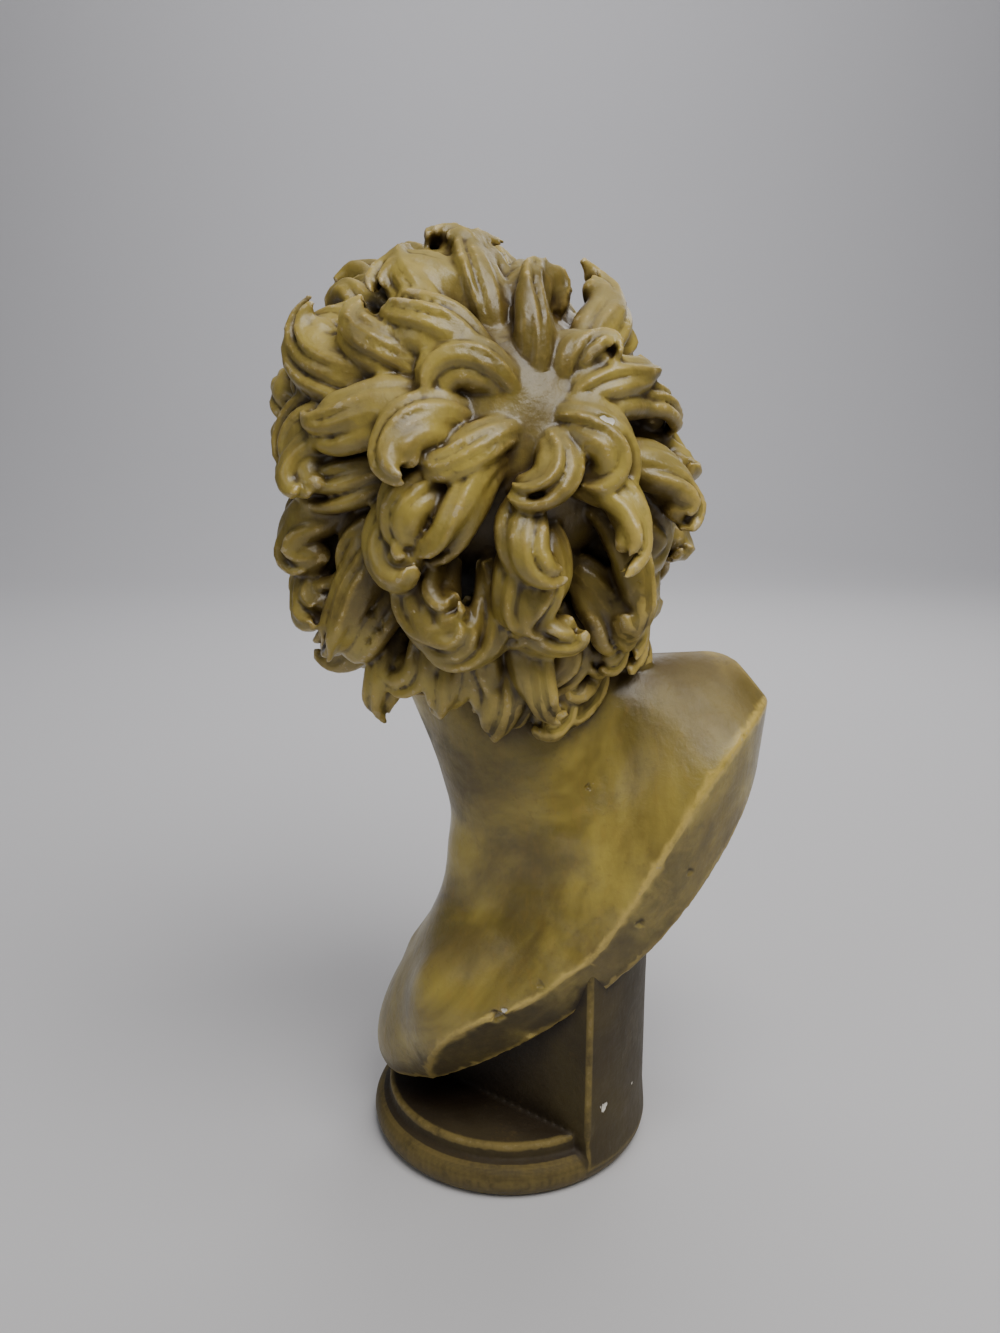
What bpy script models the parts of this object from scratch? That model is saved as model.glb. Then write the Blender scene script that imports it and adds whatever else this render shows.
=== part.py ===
"""A plaster bust, cast in one piece: a bearded man's head with thick curly locks, turned to its left and
thrown back, on bare shoulders that are cut off below in an arc, on a round socle.

Metres, +Z up. The origin is the centre of the socle's underside. The chest faces -Y and the figure's
right shoulder is at -X. The sizes of the socle are set one by one. The figure is sculpted in shares of
its head's height, from chin to crown, as a sculptor's canon is.
"""

import math

import bmesh
import bpy
import numpy as np
from mathutils import Euler, Matrix, Vector

# Socle
FOOT_RADIUS = 0.0900
TORUS_RADIUS = 0.0990
TORUS_HEIGHT = 0.0230
RING_RADIUS = 0.0880
SOCLE_HEIGHT = 0.0340
WAIST_RADIUS = 0.0700
PIER_RADIUS = 0.0975
RECESS_OFFSET = 0.0350
RECESS_TURN = math.radians(-37.0)
PIER_FRONT = 0.0300
PIER_LEFT = 0.0660
PIER_SUNK = 0.0500
COLUMN_SUNK = 0.0775
COLUMN_MOULDING = 0.0100
COLUMN_FILLET = 0.0110
COLUMN_FLARE = 0.0040
COLUMN_ROOT = 0.0060
COLUMN_SET_BACK = 0.0040
PIER_PROUD = 0.0003
SOCLE_SIDES = 48

# Figure
HEAD = 0.2500
NECK_ROOT_RISE = 0.2060
NECK_ROOT_SIDE = -0.0300
TORSO_LEAN = math.radians(40.0)
HEAD_YAW = math.radians(45.0)
HEAD_ROLL = math.radians(6.0)
HEAD_PITCH = math.radians(-18.0)
HEAD_CENTRE = (0.255, 0.0, 0.910)

# Carving
TORSO_BOX = ((-1.00, -0.48, -0.66), (0.64, 0.48, 1.00))
TORSO_GRID = 0.0130
FACE_BOX = ((-0.46, -0.62, -0.60), (0.46, 0.54, 0.54))
FACE_GRID = 0.0100
GRID_PARTS = 24
VOXEL = 0.0034
FIGURE_TRIANGLES = 8000
SEED = 8

NECK_ROOT = Vector((NECK_ROOT_SIDE, 0.0, SOCLE_HEIGHT + NECK_ROOT_RISE))
TORSO_AXES = Matrix(
    (
        (-math.cos(TORSO_LEAN), 0.0, math.sin(TORSO_LEAN)),
        (0.0, -1.0, 0.0),
        (math.sin(TORSO_LEAN), 0.0, math.cos(TORSO_LEAN)),
    )
).transposed()
HEAD_TURN = Euler((HEAD_PITCH, HEAD_ROLL, HEAD_YAW)).to_matrix()
HEAD_ORIGIN = NECK_ROOT + Vector(HEAD_CENTRE) * HEAD


def from_torso(points):
    """World places of points given in head heights along the figure's right, its front and its neck."""
    return np.array(NECK_ROOT) + HEAD * np.asarray(points, float) @ np.array(TORSO_AXES).T


def from_head(points):
    """World places of points given in head heights from the head's centre, with the face at -Y."""
    return np.array(HEAD_ORIGIN) + HEAD * np.asarray(points, float) @ np.array(HEAD_TURN).T


# Distances to simple forms, negative inside


def ellipsoid(points, centre, radii):
    offset = points - np.asarray(centre)
    near = np.linalg.norm(offset / np.asarray(radii), axis=1)
    far = np.linalg.norm(offset / np.asarray(radii) ** 2, axis=1)
    return near * (near - 1.0) / np.maximum(far, 1e-9)


def limb(points, start, end, start_radius, end_radius):
    start, along = np.asarray(start, float), np.asarray(end, float) - np.asarray(start, float)
    share = np.clip((points - start) @ along / (along @ along), 0.0, 1.0)
    across = np.linalg.norm(points - start - share[:, None] * along, axis=1)
    return across - start_radius - (end_radius - start_radius) * share


def blend(first, second, width):
    """The union of two forms, with a fillet of about this width."""
    share = np.clip(0.5 + 0.5 * (second - first) / width, 0.0, 1.0)
    return second * (1.0 - share) + first * share - width * share * (1.0 - share)


def carve(form, cutter, width):
    """The first form less the second, with a rounded edge of about this width."""
    return -blend(-form, cutter, width)


def both_sides(points, form, centre, *sizes):
    """The nearer of a form and its mirror image across the face's middle."""
    folded = np.concatenate((np.abs(points[:, :1]), points[:, 1:]), 1)
    return form(folded, centre, *sizes)


# The figure's forms


def neck_ends():
    return from_torso([(-0.06, 0.0, -0.10)])[0], from_head([(0.0, 0.10, -0.22)])[0]


def torso_distance(points):
    """Neck, shoulders and upper chest, in metres, without the cut."""
    local = (points - np.array(NECK_ROOT)) @ np.array(TORSO_AXES) / HEAD
    form = ellipsoid(local, (-0.075, 0.0, -0.30), (0.80, 0.35, 0.29))
    form = blend(form, ellipsoid(local, (-0.12, 0.03, -0.60), (0.66, 0.40, 0.62)), 0.10)
    form = blend(form, ellipsoid(local, (-0.46, -0.20, -0.32), (0.22, 0.15, 0.26)), 0.08)
    form = blend(form, ellipsoid(local, (0.30, -0.15, -0.20), (0.30, 0.17, 0.27)), 0.16)
    form = blend(form, limb(local, (0.10, -0.08, 0.30), (0.51, -0.02, -0.020), 0.14, 0.13), 0.12)
    form = blend(form, limb(local, (-0.22, -0.06, 0.02), (-0.58, -0.04, -0.22), 0.10, 0.07), 0.07)
    for side in (-1.0, 1.0):
        chest = ellipsoid(local, (-0.12 + 0.30 * side, 0.25, -0.56), (0.32, 0.18, 0.26))
        form = blend(form, chest, 0.08)
        pit, tip = (-0.12 + 0.06 * side, 0.33, -0.19), (-0.08 + 0.50 * side, 0.07, -0.12)
        form = blend(form, limb(local, pit, tip, 0.032, 0.024), 0.06)
    form = carve(form, limb(local, (-0.10, -0.46, -0.10), (-0.12, -0.50, -0.60), 0.08, 0.08), 0.10)
    form *= HEAD
    low, high = neck_ends()
    form = blend(form, limb(points, low, high, 0.262 * HEAD, 0.225 * HEAD), 0.10 * HEAD)
    nape = from_head([(0.0, 0.20, -0.30)])[0]
    back = from_torso([(0.02, -0.16, 0.0)])[0]
    form = blend(form, limb(points, back, nape, 0.13 * HEAD, 0.11 * HEAD), 0.06 * HEAD)
    for side in (-1.0, 1.0):
        behind_ear = from_head([(0.235 * side, 0.06, -0.30)])[0]
        pit = from_torso([(-0.12 - 0.05 * side, 0.275, -0.17)])[0]
        form = blend(form, limb(points, pit, behind_ear, 0.040 * HEAD, 0.060 * HEAD), 0.10 * HEAD)
    gullet, chin = from_torso([(-0.12, 0.19, -0.06)])[0], from_head([(0.0, -0.14, -0.40)])[0]
    return blend(form, limb(points, gullet, chin, 0.08 * HEAD, 0.11 * HEAD), 0.10 * HEAD)


def head_distance(points):
    """Skull and face on a sculptor's canon, in head heights, in the head's own axes."""
    form = ellipsoid(points, (0.0, 0.03, 0.08), (0.335, 0.435, 0.39))
    form = blend(form, ellipsoid(points, (0.0, -0.16, -0.25), (0.235, 0.25, 0.27)), 0.10)
    form = blend(form, both_sides(points, ellipsoid, (0.17, -0.25, -0.13), (0.11, 0.12, 0.08)), 0.07)
    brow = both_sides(points, limb, (0.03, -0.385, 0.010), (0.20, -0.305, 0.025), 0.034, 0.030)
    form = blend(form, brow, 0.04)
    form = carve(form, both_sides(points, ellipsoid, (0.132, -0.425, -0.050), (0.085, 0.085, 0.050)), 0.05)
    form = blend(form, limb(points, (0.0, -0.350, -0.020), (0.0, -0.425, -0.215), 0.040, 0.060), 0.05)
    form = blend(form, limb(points, (0.0, -0.390, -0.015), (0.0, -0.480, -0.215), 0.026, 0.036), 0.035)
    form = blend(form, ellipsoid(points, (0.0, -0.488, -0.232), (0.040, 0.042, 0.034)), 0.02)
    form = blend(form, both_sides(points, ellipsoid, (0.046, -0.455, -0.243), (0.032, 0.045, 0.028)), 0.015)
    eye = (0.130, -0.330, -0.048)
    ball = both_sides(points, ellipsoid, eye, (0.062, 0.062, 0.062))
    lid = both_sides(points, ellipsoid, eye, (0.074, 0.072, 0.068))
    across = (np.abs(points[:, 0]) - eye[0]) / 0.066
    opening = np.abs(points[:, 2] - eye[2] + 0.004) - 0.024 * (1.0 - across**2)
    form = blend(form, np.minimum(np.maximum(lid, -opening), ball), 0.008)
    form = blend(form, both_sides(points, ellipsoid, (0.034, -0.402, -0.345), (0.052, 0.032, 0.017)), 0.012)
    form = blend(form, ellipsoid(points, (0.0, -0.400, -0.385), (0.070, 0.032, 0.021)), 0.010)
    form = blend(form, both_sides(points, ellipsoid, (0.335, 0.03, -0.14), (0.045, 0.085, 0.125)), 0.02)
    return carve(form, both_sides(points, ellipsoid, (0.385, 0.010, -0.13), (0.030, 0.050, 0.080)), 0.015)


# Meshes


def surface_of(distance, box, grid):
    """A closed skin of four-sided faces where a distance changes sign: (points, faces).

    Each cell of the grid that the form's surface runs through gets one point, midway between the places
    where the surface crosses the cell's edges, and each crossed edge gets a face between its four cells.
    """
    low, high = np.array(box)
    counts = np.ceil((high - low) / grid).astype(int) + 1
    knots = np.stack(np.meshgrid(*[np.arange(count) for count in counts], indexing="ij"), -1).reshape(-1, 3)
    values = np.concatenate([distance(low + grid * part) for part in np.array_split(knots, GRID_PARTS)])
    values = values.reshape(counts)
    rim = np.ones(counts, bool)
    rim[1:-1, 1:-1, 1:-1] = False
    values[rim] = np.maximum(values[rim], grid)
    crossings, cells = [], []
    for axis in range(3):
        here = np.delete(values, -1, axis)
        there = np.delete(values, 0, axis)
        crossed = (here < 0.0) != (there < 0.0)
        edge = np.argwhere(crossed)
        place = edge.astype(float)
        place[:, axis] += here[crossed] / (here[crossed] - there[crossed])
        one, other = [side for side in range(3) if side != axis]
        around = np.repeat(edge[:, None], 4, axis=1)
        around[:, 1:3, one] -= 1
        around[:, 2:4, other] -= 1
        crossings.append(np.repeat(place, 4, axis=0))
        cells.append(np.ravel_multi_index(around.reshape(-1, 3).T, counts))
    used, faces = np.unique(np.concatenate(cells), return_inverse=True)
    places = np.concatenate(crossings)
    shares = np.bincount(faces)
    points = np.stack([np.bincount(faces, places[:, axis]) / shares for axis in range(3)], -1)
    return low + grid * points, faces.reshape(-1, 4).tolist()


def mesh_object(name, points, faces):
    mesh = bpy.data.meshes.new(name)
    mesh.from_pydata(np.asarray(points).tolist(), [], [list(face) for face in faces])
    mesh.update()
    made = bpy.data.objects.new(name, mesh)
    bpy.context.scene.collection.objects.link(made)
    return made


def as_cutter(made):
    made.hide_render = True
    made.display_type = "WIRE"
    return made


def waxed_plaster():
    """Plaster painted and waxed to an olive bronze."""
    material = bpy.data.materials.new("waxed_plaster")
    material.use_nodes = True
    finish = material.node_tree.nodes["Principled BSDF"]
    finish.inputs["Base Color"].default_value = (0.19, 0.155, 0.065, 1.0)
    finish.inputs["Roughness"].default_value = 0.42
    finish.inputs["Metallic"].default_value = 0.0
    return material


# Locks of hair and beard


def unit(vectors):
    return vectors / np.maximum(np.linalg.norm(vectors, axis=-1, keepdims=True), 1e-9)


class HairyForm:
    """An ellipsoid that locks grow on, which may be longer below its middle than above it."""

    def __init__(self, centre, radii, radius_below):
        self.centre = np.array(centre)
        self.radii = np.array(radii)
        self.radius_below = radius_below

    def radii_at(self, points):
        radii = np.broadcast_to(self.radii, points.shape).copy()
        radii[..., 2] = np.where(points[..., 2] < self.centre[2], self.radius_below, self.radii[2])
        return radii

    def laid_on(self, points):
        offset = points - self.centre
        return self.centre + offset / np.linalg.norm(offset / self.radii_at(points), axis=-1, keepdims=True)

    def normal(self, points):
        return unit((points - self.centre) / self.radii_at(points) ** 2)


SCALP = HairyForm((0.0, 0.04, 0.03), (0.355, 0.455, 0.425), 0.85)
JAW = HairyForm((0.0, -0.13, -0.29), (0.245, 0.290, 0.200), 0.290)
LOCK_RINGS = 16
LOCK_SIDES = 10
STRANDS = 4
LOCK_ARCH = ((0.0, 0.20, 0.50, 0.80, 1.0), (-0.05, 0.34, 0.80, 1.0, 0.86))
LOCK_SHAPE = ((0.0, 0.10, 0.40, 0.70, 0.90, 1.0), (0.45, 0.75, 1.0, 0.94, 0.70, 0.30))
LOCK_SPREAD = ((0.0, 0.35, 0.75, 1.0), (0.55, 1.0, 0.85, 0.28))


def turned(vectors, axes, angles):
    """Each vector turned about its axis, which it is square to."""
    angles = np.asarray(angles)[..., None]
    return vectors * np.cos(angles) + np.cross(axes, vectors) * np.sin(angles)


def lock_lines(form, roots, headings, lengths, turns, hooks, lifts, tips):
    """The centre line and the outward direction of each lock, as it runs over its form."""
    places, outward = [], []
    point, heading = form.laid_on(roots), headings
    for ring in range(LOCK_RINGS):
        share = ring / (LOCK_RINGS - 1)
        normal = form.normal(point)
        heading = unit(heading - normal * np.sum(heading * normal, axis=1, keepdims=True))
        rise = lifts * np.interp(share, *LOCK_ARCH) + tips * share**3
        places.append(point + normal * rise[:, None])
        outward.append(normal)
        step = lengths / (LOCK_RINGS - 1)
        heading = turned(heading, normal, (turns + hooks * 3.0 * share**2) / (LOCK_RINGS - 1))
        point = form.laid_on(point + heading * step[:, None])
    return np.stack(places, 1), np.stack(outward, 1)


def strand_tubes(lines, outward, widths, heights, tilts):
    """Closed tubes with a leaf's outline along the lines: (points, faces)."""
    count, rings = lines.shape[:2]
    along = unit(np.gradient(lines, axis=1))
    side = unit(np.cross(along, outward))
    up = np.cross(side, along)
    tilt = tilts[:, None, None]
    side, up = side * np.cos(tilt) + up * np.sin(tilt), up * np.cos(tilt) - side * np.sin(tilt)
    share = np.linspace(0.0, 1.0, rings)
    shape = np.interp(share, *LOCK_SHAPE)
    angle = np.linspace(0.0, 2.0 * math.pi, LOCK_SIDES, endpoint=False)
    across = np.cos(angle)[None, None, :, None] * (widths[:, None] * shape)[..., None, None]
    above = np.sin(angle)[None, None, :, None] * (heights[:, None] * shape)[..., None, None]
    tubes = lines[:, :, None] + side[:, :, None] * across + up[:, :, None] * above
    points = tubes.reshape(-1, 3)
    ring, corner = np.meshgrid(np.arange(rings - 1), np.arange(LOCK_SIDES), indexing="ij")
    after = (corner + 1) % LOCK_SIDES
    walls = np.stack(
        (
            ring * LOCK_SIDES + corner,
            (ring + 1) * LOCK_SIDES + corner,
            (ring + 1) * LOCK_SIDES + after,
            ring * LOCK_SIDES + after,
        ),
        -1,
    ).reshape(-1, 4)
    faces = []
    for tube in range(count):
        first = tube * rings * LOCK_SIDES
        faces.extend((walls + first).tolist())
        faces.append([first + corner for corner in range(LOCK_SIDES)])
        last = first + (rings - 1) * LOCK_SIDES
        faces.append([last + corner for corner in reversed(range(LOCK_SIDES))])
    return points, faces


CROWN = unit(np.array(HEAD_TURN).T @ np.array((-0.43, 0.81, 0.40)))
DOWN = np.array(HEAD_TURN).T @ np.array((0.0, 0.0, -1.0))
HAIRLINE = ((0.0, 40.0, 62.0, 76.0, 92.0, 108.0, 180.0), (35.0, 30.0, 10.0, -14.0, -32.0, -42.0, -45.0))
LENGTH_BY_FACE = ((55.0, 72.0, 95.0), (1.0, 0.62, 1.0))
TIER_ANGLES = (9.0, 23.0, 37.0, 51.0, 65.0, 79.0, 93.0, 107.0, 121.0, 135.0)
LOCK_SPACING = 0.104
LOCK_LENGTH = 0.262
STRAND_WIDTH = 0.0165
STRAND_GAP = 0.0325
CORE_WIDTH = 0.048
BEARD_ROWS = ((12.0, 58.0, 8), (-14.0, 34.0, 9), (-38.0, 0.0, 9), (-60.0, 0.0, 7))
BEARD_LENGTH = 0.21
BEARD_LIFT = 0.060
LOCK_LIFT = 0.112


def round_face(directions):
    """How far round the head directions lie from the face's middle, in degrees."""
    return np.degrees(np.arctan2(np.abs(directions[:, 0]), -directions[:, 1]))


def in_hair(directions):
    """Whether hair grows in these directions from the head's centre: above the line round the face."""
    elevation = np.degrees(np.arcsin(directions[:, 2]))
    return elevation > np.interp(round_face(directions), *HAIRLINE)


def hair_roots(draw):
    """Roots in tiers round the crown, like tiles, with the tier that each is in."""
    side = unit(np.cross(CROWN, (0.3, 0.1, 1.0)))
    ahead = np.cross(CROWN, side)
    roots, tiers = [], []
    for tier, angle in enumerate(TIER_ANGLES):
        polar = math.radians(angle)
        count = max(7, round(2.0 * math.pi * math.sin(polar) * 0.44 / LOCK_SPACING))
        for place in range(count):
            azimuth = 2.0 * math.pi * (place + 0.5 * (tier % 2) + draw.uniform(-0.22, 0.22)) / count
            dip = polar + math.radians(draw.uniform(-4.5, 4.5))
            round_crown = side * math.cos(azimuth) + ahead * math.sin(azimuth)
            roots.append(CROWN * math.cos(dip) + round_crown * math.sin(dip))
            tiers.append(tier)
    return np.array(roots), np.array(tiers)


def hair(draw):
    """The locks of the scalp. Each swings round towards the side that it falls to."""
    roots, tiers = hair_roots(draw)
    count = len(roots)
    start = SCALP.laid_on(SCALP.centre + roots)
    normal = SCALP.normal(start)
    radial = unit(roots - CROWN * (roots @ CROWN)[:, None])
    radial = unit(radial - normal * np.sum(radial * normal, axis=1, keepdims=True))
    fall = DOWN - normal * (normal @ DOWN)[:, None]
    lean = np.sum(np.cross(radial, fall) * normal, axis=1)
    hand = np.where(lean + draw.uniform(-0.45, 0.45, count) > 0.0, 1.0, -1.0)
    headings = turned(radial, normal, -hand * draw.uniform(0.35, 0.85, count))
    lengths = LOCK_LENGTH * draw.uniform(0.80, 1.28, count) * np.where(tiers == 0, 0.90, 1.0)
    turns = hand * draw.uniform(1.2, 2.0, count)
    hooks = hand * draw.uniform(0.8, 2.8, count) * draw.choice([-1.3, 1.0], count, p=[0.38, 0.62])
    lifts = LOCK_LIFT * draw.uniform(0.78, 1.22, count) * np.where(tiers == 0, 0.6, 1.0)
    tips = draw.choice([-0.05, -0.02, 0.02, 0.06], count, p=[0.25, 0.30, 0.25, 0.20])
    lengths = lengths * np.interp(roots[:, 2], (-0.72, -0.45), (0.75, 1.0))
    lengths = lengths * np.interp(round_face(roots), *LENGTH_BY_FACE)
    grown = in_hair(roots)
    locks = (start, headings, lengths, turns, hooks, lifts, tips)
    return with_strands(draw, SCALP, [part[grown] for part in locks])


def beard(draw):
    """Rows of locks round the jaw, from below one ear to the other, clear of the mouth."""
    starts, hands = [], []
    for elevation, clear, count in BEARD_ROWS:
        for place in range(count):
            azimuth = -118.0 + 236.0 * (place + 0.5 + draw.uniform(-0.18, 0.18)) / count
            if abs(azimuth) < clear:
                continue
            turn, rise = math.radians(azimuth), math.radians(elevation + draw.uniform(-5.0, 5.0))
            level = math.cos(rise)
            starts.append((math.sin(turn) * level, -math.cos(turn) * level, math.sin(rise)))
            hands.append(math.copysign(1.0, azimuth) * draw.choice([-1.0, 1.0], p=[0.65, 0.35]))
    start, hand, count = JAW.laid_on(JAW.centre + np.array(starts)), np.array(hands), len(starts)
    normal = JAW.normal(start)
    falling = unit(np.array((0.0, -0.25, -1.0)) - normal * (normal @ (0.0, -0.25, -1.0))[:, None])
    headings = turned(falling, normal, -hand * draw.uniform(0.5, 0.9, count))
    lengths = BEARD_LENGTH * draw.uniform(0.85, 1.20, count)
    lifts = BEARD_LIFT * draw.uniform(0.75, 1.30, count)
    tips = draw.choice([0.0, 0.03, 0.06], count)
    turns = hand * draw.uniform(1.4, 2.2, count)
    hooks = hand * draw.uniform(0.3, 1.8, count) * draw.choice([-1.3, 1.0], count, p=[0.35, 0.65])
    return with_strands(draw, JAW, (start, headings, lengths, turns, hooks, lifts, tips))


def with_strands(draw, form, locks):
    """Each lock as a core with strands on it, which part at the belly, roll over and meet at the tip."""
    start, headings, lengths, turns, hooks, lifts, tips = locks
    count = len(start)
    lines, outwards, widths, heights, tilts = [], [], [], [], []
    share = np.linspace(0.0, 1.0, LOCK_RINGS)
    spread = np.interp(share, *LOCK_SPREAD)
    roll = draw.uniform(-0.9, 0.9, count)[:, None, None] * share[None, :, None]
    fullness = draw.uniform(0.82, 1.25, count)
    for strand in (None, *range(STRANDS)):
        offset = 0.0 if strand is None else strand - (STRANDS - 1) / 2.0
        stretch = 0.80 if strand is None else draw.uniform(0.90, 1.08, count) - 0.05 * abs(offset)
        bend = 1.0 if strand is None else draw.uniform(0.92, 1.10, count)
        sizes = (lengths * stretch, turns * bend, hooks, lifts, tips)
        line, outward = lock_lines(form, start, headings, *sizes)
        side = unit(np.cross(unit(np.gradient(line, axis=1)), outward))
        across = side * np.cos(roll) + outward * np.sin(roll)
        sink = 0.048 if strand is None else 0.009 * offset * offset
        gap = offset * STRAND_GAP * fullness[:, None, None] * spread[None, :, None]
        line = line + across * gap - outward * sink
        girth = (CORE_WIDTH if strand is None else STRAND_WIDTH) * fullness * draw.uniform(0.90, 1.10, count)
        lines.append(line)
        outwards.append(outward)
        widths.append(girth)
        heights.append(girth * (1.0 if strand is None else 1.60) * draw.uniform(0.9, 1.15, count))
        tilts.append(draw.uniform(-0.2, 0.2, count) + 0.2 * offset)
    return [np.concatenate(part) for part in (lines, outwards, widths, heights, tilts)]


def moustache_tubes():
    """Two locks on each side, from under the nose round the corner of the mouth."""
    lines, outwards = [], []
    share = np.linspace(0.0, 1.0, LOCK_RINGS)
    for side in (-1.0, 1.0):
        for drop in (0.0, 0.030):
            across = side * (0.016 + 0.190 * share + 0.25 * drop)
            depth = -0.428 + 0.150 * share**1.6
            height = -0.300 - drop - 0.105 * share**1.4 + 0.018 * np.sin(math.pi * share)
            line = np.stack((across, depth, height), -1)
            lines.append(line)
            outwards.append(np.stack((side * share, share - 1.3, np.zeros_like(share)), -1))
    girths = np.full(len(lines), 0.024)
    return np.array(lines), unit(np.array(outwards)), girths, girths, 0.0 * girths


# The whole figure


def funnel():
    """The space that is kept of the shoulders: a bowl whose wall makes the cut face under the back."""
    sides = 96
    angles = np.linspace(0.0, 2.0 * math.pi, sides, endpoint=False)
    right, front = np.cos(angles), np.sin(angles)
    deep = np.where(front > 0.0, 0.36, 0.30)
    level = -0.385 + np.where(right > 0.0, 0.16, 0.095) * np.abs(right) ** 2.2
    level = level - 0.09 * np.maximum(front, 0.0) ** 1.5
    low = np.stack((-0.196 + 0.728 * right, deep * front, level), -1)
    spread = np.where(right > 0.0, 1.0, 0.62) * right
    wall = np.stack((spread, np.where(front > 0.0, 0.50, 0.42) * front, np.full(sides, 1.0)), -1)
    high = low + wall * 0.5
    top = high + np.stack((right * 0.2, front * 0.6, np.full(sides, 2.4)), -1)
    floor = np.array([[-0.196, 0.02, -0.36]])
    roof = np.array([[-0.196, 0.0, 2.9]])
    points = from_torso(np.concatenate((low, high, top, floor, roof)))
    faces = []
    for corner in range(sides):
        after = (corner + 1) % sides
        for level_index in range(2):
            first, second = level_index * sides, (level_index + 1) * sides
            faces.append((first + corner, first + after, second + after, second + corner))
        faces.append((3 * sides, after, corner))
        faces.append((3 * sides + 1, 2 * sides + corner, 2 * sides + after))
    return mesh_object("cut_bowl", points, faces)


def facing_out(made):
    """The mesh with its faces all pointing out."""
    mesh = bmesh.new()
    mesh.from_mesh(made.data)
    bmesh.ops.recalc_face_normals(mesh, faces=mesh.faces)
    mesh.to_mesh(made.data)
    mesh.free()
    return made


def boolean(made, operation, other):
    modifier = made.modifiers.new(operation.lower() + "_" + other.name, "BOOLEAN")
    modifier.operation = operation
    modifier.solver = "EXACT"
    modifier.object = other
    return modifier


def applied(made):
    """The object with its modifiers worked into its mesh."""
    graph = bpy.context.evaluated_depsgraph_get()
    mesh = bpy.data.meshes.new_from_object(made.evaluated_get(graph))
    made.modifiers.clear()
    made.data = mesh
    return made


def sculpted_figure():
    """Head, locks, neck and shoulders as one skin."""
    draw = np.random.RandomState(SEED)
    bowl = as_cutter(facing_out(funnel()))
    places, faces = surface_of(lambda points: torso_distance(from_torso(points)), TORSO_BOX, TORSO_GRID)
    shoulders = facing_out(mesh_object("shoulders", from_torso(places), faces))
    boolean(shoulders, "INTERSECT", bowl)
    applied(shoulders)
    places, faces = surface_of(head_distance, FACE_BOX, FACE_GRID)
    groups = [(from_head(places), faces)]
    for tubes in (hair(draw), beard(draw), moustache_tubes()):
        points, faces = strand_tubes(*tubes)
        groups.append((from_head(points), faces))
    points, faces, shift = [], [], 0
    for group_points, group_faces in groups:
        points.append(group_points)
        faces.extend([[corner + shift for corner in face] for face in group_faces])
        shift += len(group_points)
    head = mesh_object("head", np.concatenate(points), faces)
    mesh = bmesh.new()
    mesh.from_mesh(head.data)
    mesh.from_mesh(shoulders.data)
    mesh.to_mesh(head.data)
    mesh.free()
    bpy.data.objects.remove(shoulders)
    bpy.data.objects.remove(bowl)
    facing_out(head)
    skin = head.modifiers.new("one_skin", "REMESH")
    skin.mode = "VOXEL"
    skin.voxel_size = VOXEL
    ease = head.modifiers.new("ease", "SMOOTH")
    ease.factor = 0.5
    ease.iterations = 2
    applied(head)
    triangles = sum(len(face.vertices) - 2 for face in head.data.polygons)
    thin = head.modifiers.new("thin", "DECIMATE")
    thin.ratio = FIGURE_TRIANGLES / triangles
    return applied(head)


# Socle


def turned_profile():
    """Radius and height of the socle's outline, from the floor up."""
    profile = [(0.0, 0.0), (FOOT_RADIUS, 0.0)]
    middle, half = TORUS_HEIGHT / 2.0, TORUS_HEIGHT / 2.0
    bulge = TORUS_RADIUS - FOOT_RADIUS
    for step in range(1, 6):
        angle = math.pi * step / 6.0 - math.pi / 2.0
        profile.append((FOOT_RADIUS + bulge * math.cos(angle), middle + half * math.sin(angle)))
    profile.append((RING_RADIUS, TORUS_HEIGHT))
    profile.append((RING_RADIUS, SOCLE_HEIGHT))
    profile.append((0.0, SOCLE_HEIGHT))
    return profile


def lathe(name, profile, sides):
    """A solid of revolution about Z from an outline that starts and ends on the axis."""
    points = [(0.0, 0.0, profile[0][1]), (0.0, 0.0, profile[-1][1])]
    rings = profile[1:-1]
    for radius, height in rings:
        for corner in range(sides):
            angle = 2.0 * math.pi * corner / sides
            points.append((radius * math.cos(angle), radius * math.sin(angle), height))
    faces = []
    for corner in range(sides):
        after = (corner + 1) % sides
        faces.append((0, 2 + after, 2 + corner))
        last = 2 + (len(rings) - 1) * sides
        faces.append((1, last + corner, last + after))
        for ring in range(len(rings) - 1):
            low, high = 2 + ring * sides, 2 + (ring + 1) * sides
            faces.append((low + corner, low + after, high + after, high + corner))
    return facing_out(mesh_object(name, points, faces))


def slanted_top(x, sunk):
    """How high an upright reaches inside the shoulders, which rise towards -X."""
    lift = -sunk - TORSO_AXES[0][2] * (x - NECK_ROOT.x)
    return NECK_ROOT.z + lift / TORSO_AXES[2][2]


def upright(name, rings, recess_offset, sunk, front=-1.0, left=1.0):
    """A round upright from rings of (radius, height, share of the way up to its slanted top).

    It is flat towards the recess. The pier also ends at a plane in front and one at its left.
    """
    recess = (-math.sin(RECESS_TURN), math.cos(RECESS_TURN))
    points = []
    for radius, height, share in rings:
        for corner in range(SOCLE_SIDES):
            angle = 2.0 * math.pi * (corner + 0.5) / SOCLE_SIDES
            x, y = radius * math.cos(angle), radius * math.sin(angle)
            over = x * recess[0] + y * recess[1] - recess_offset
            if over > 0.0:
                x, y = x - over * recess[0], y - over * recess[1]
            x, y = min(x, left), max(y, front)
            points.append((x, y, height + share * (slanted_top(x, sunk) - height)))
    faces = [list(range(SOCLE_SIDES)), [(len(rings) - 1) * SOCLE_SIDES + k for k in range(SOCLE_SIDES)]]
    for ring in range(len(rings) - 1):
        low, high = ring * SOCLE_SIDES, (ring + 1) * SOCLE_SIDES
        for corner in range(SOCLE_SIDES):
            after = (corner + 1) % SOCLE_SIDES
            faces.append((low + corner, low + after, high + after, high + corner))
    return facing_out(mesh_object(name, points, faces))


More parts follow.
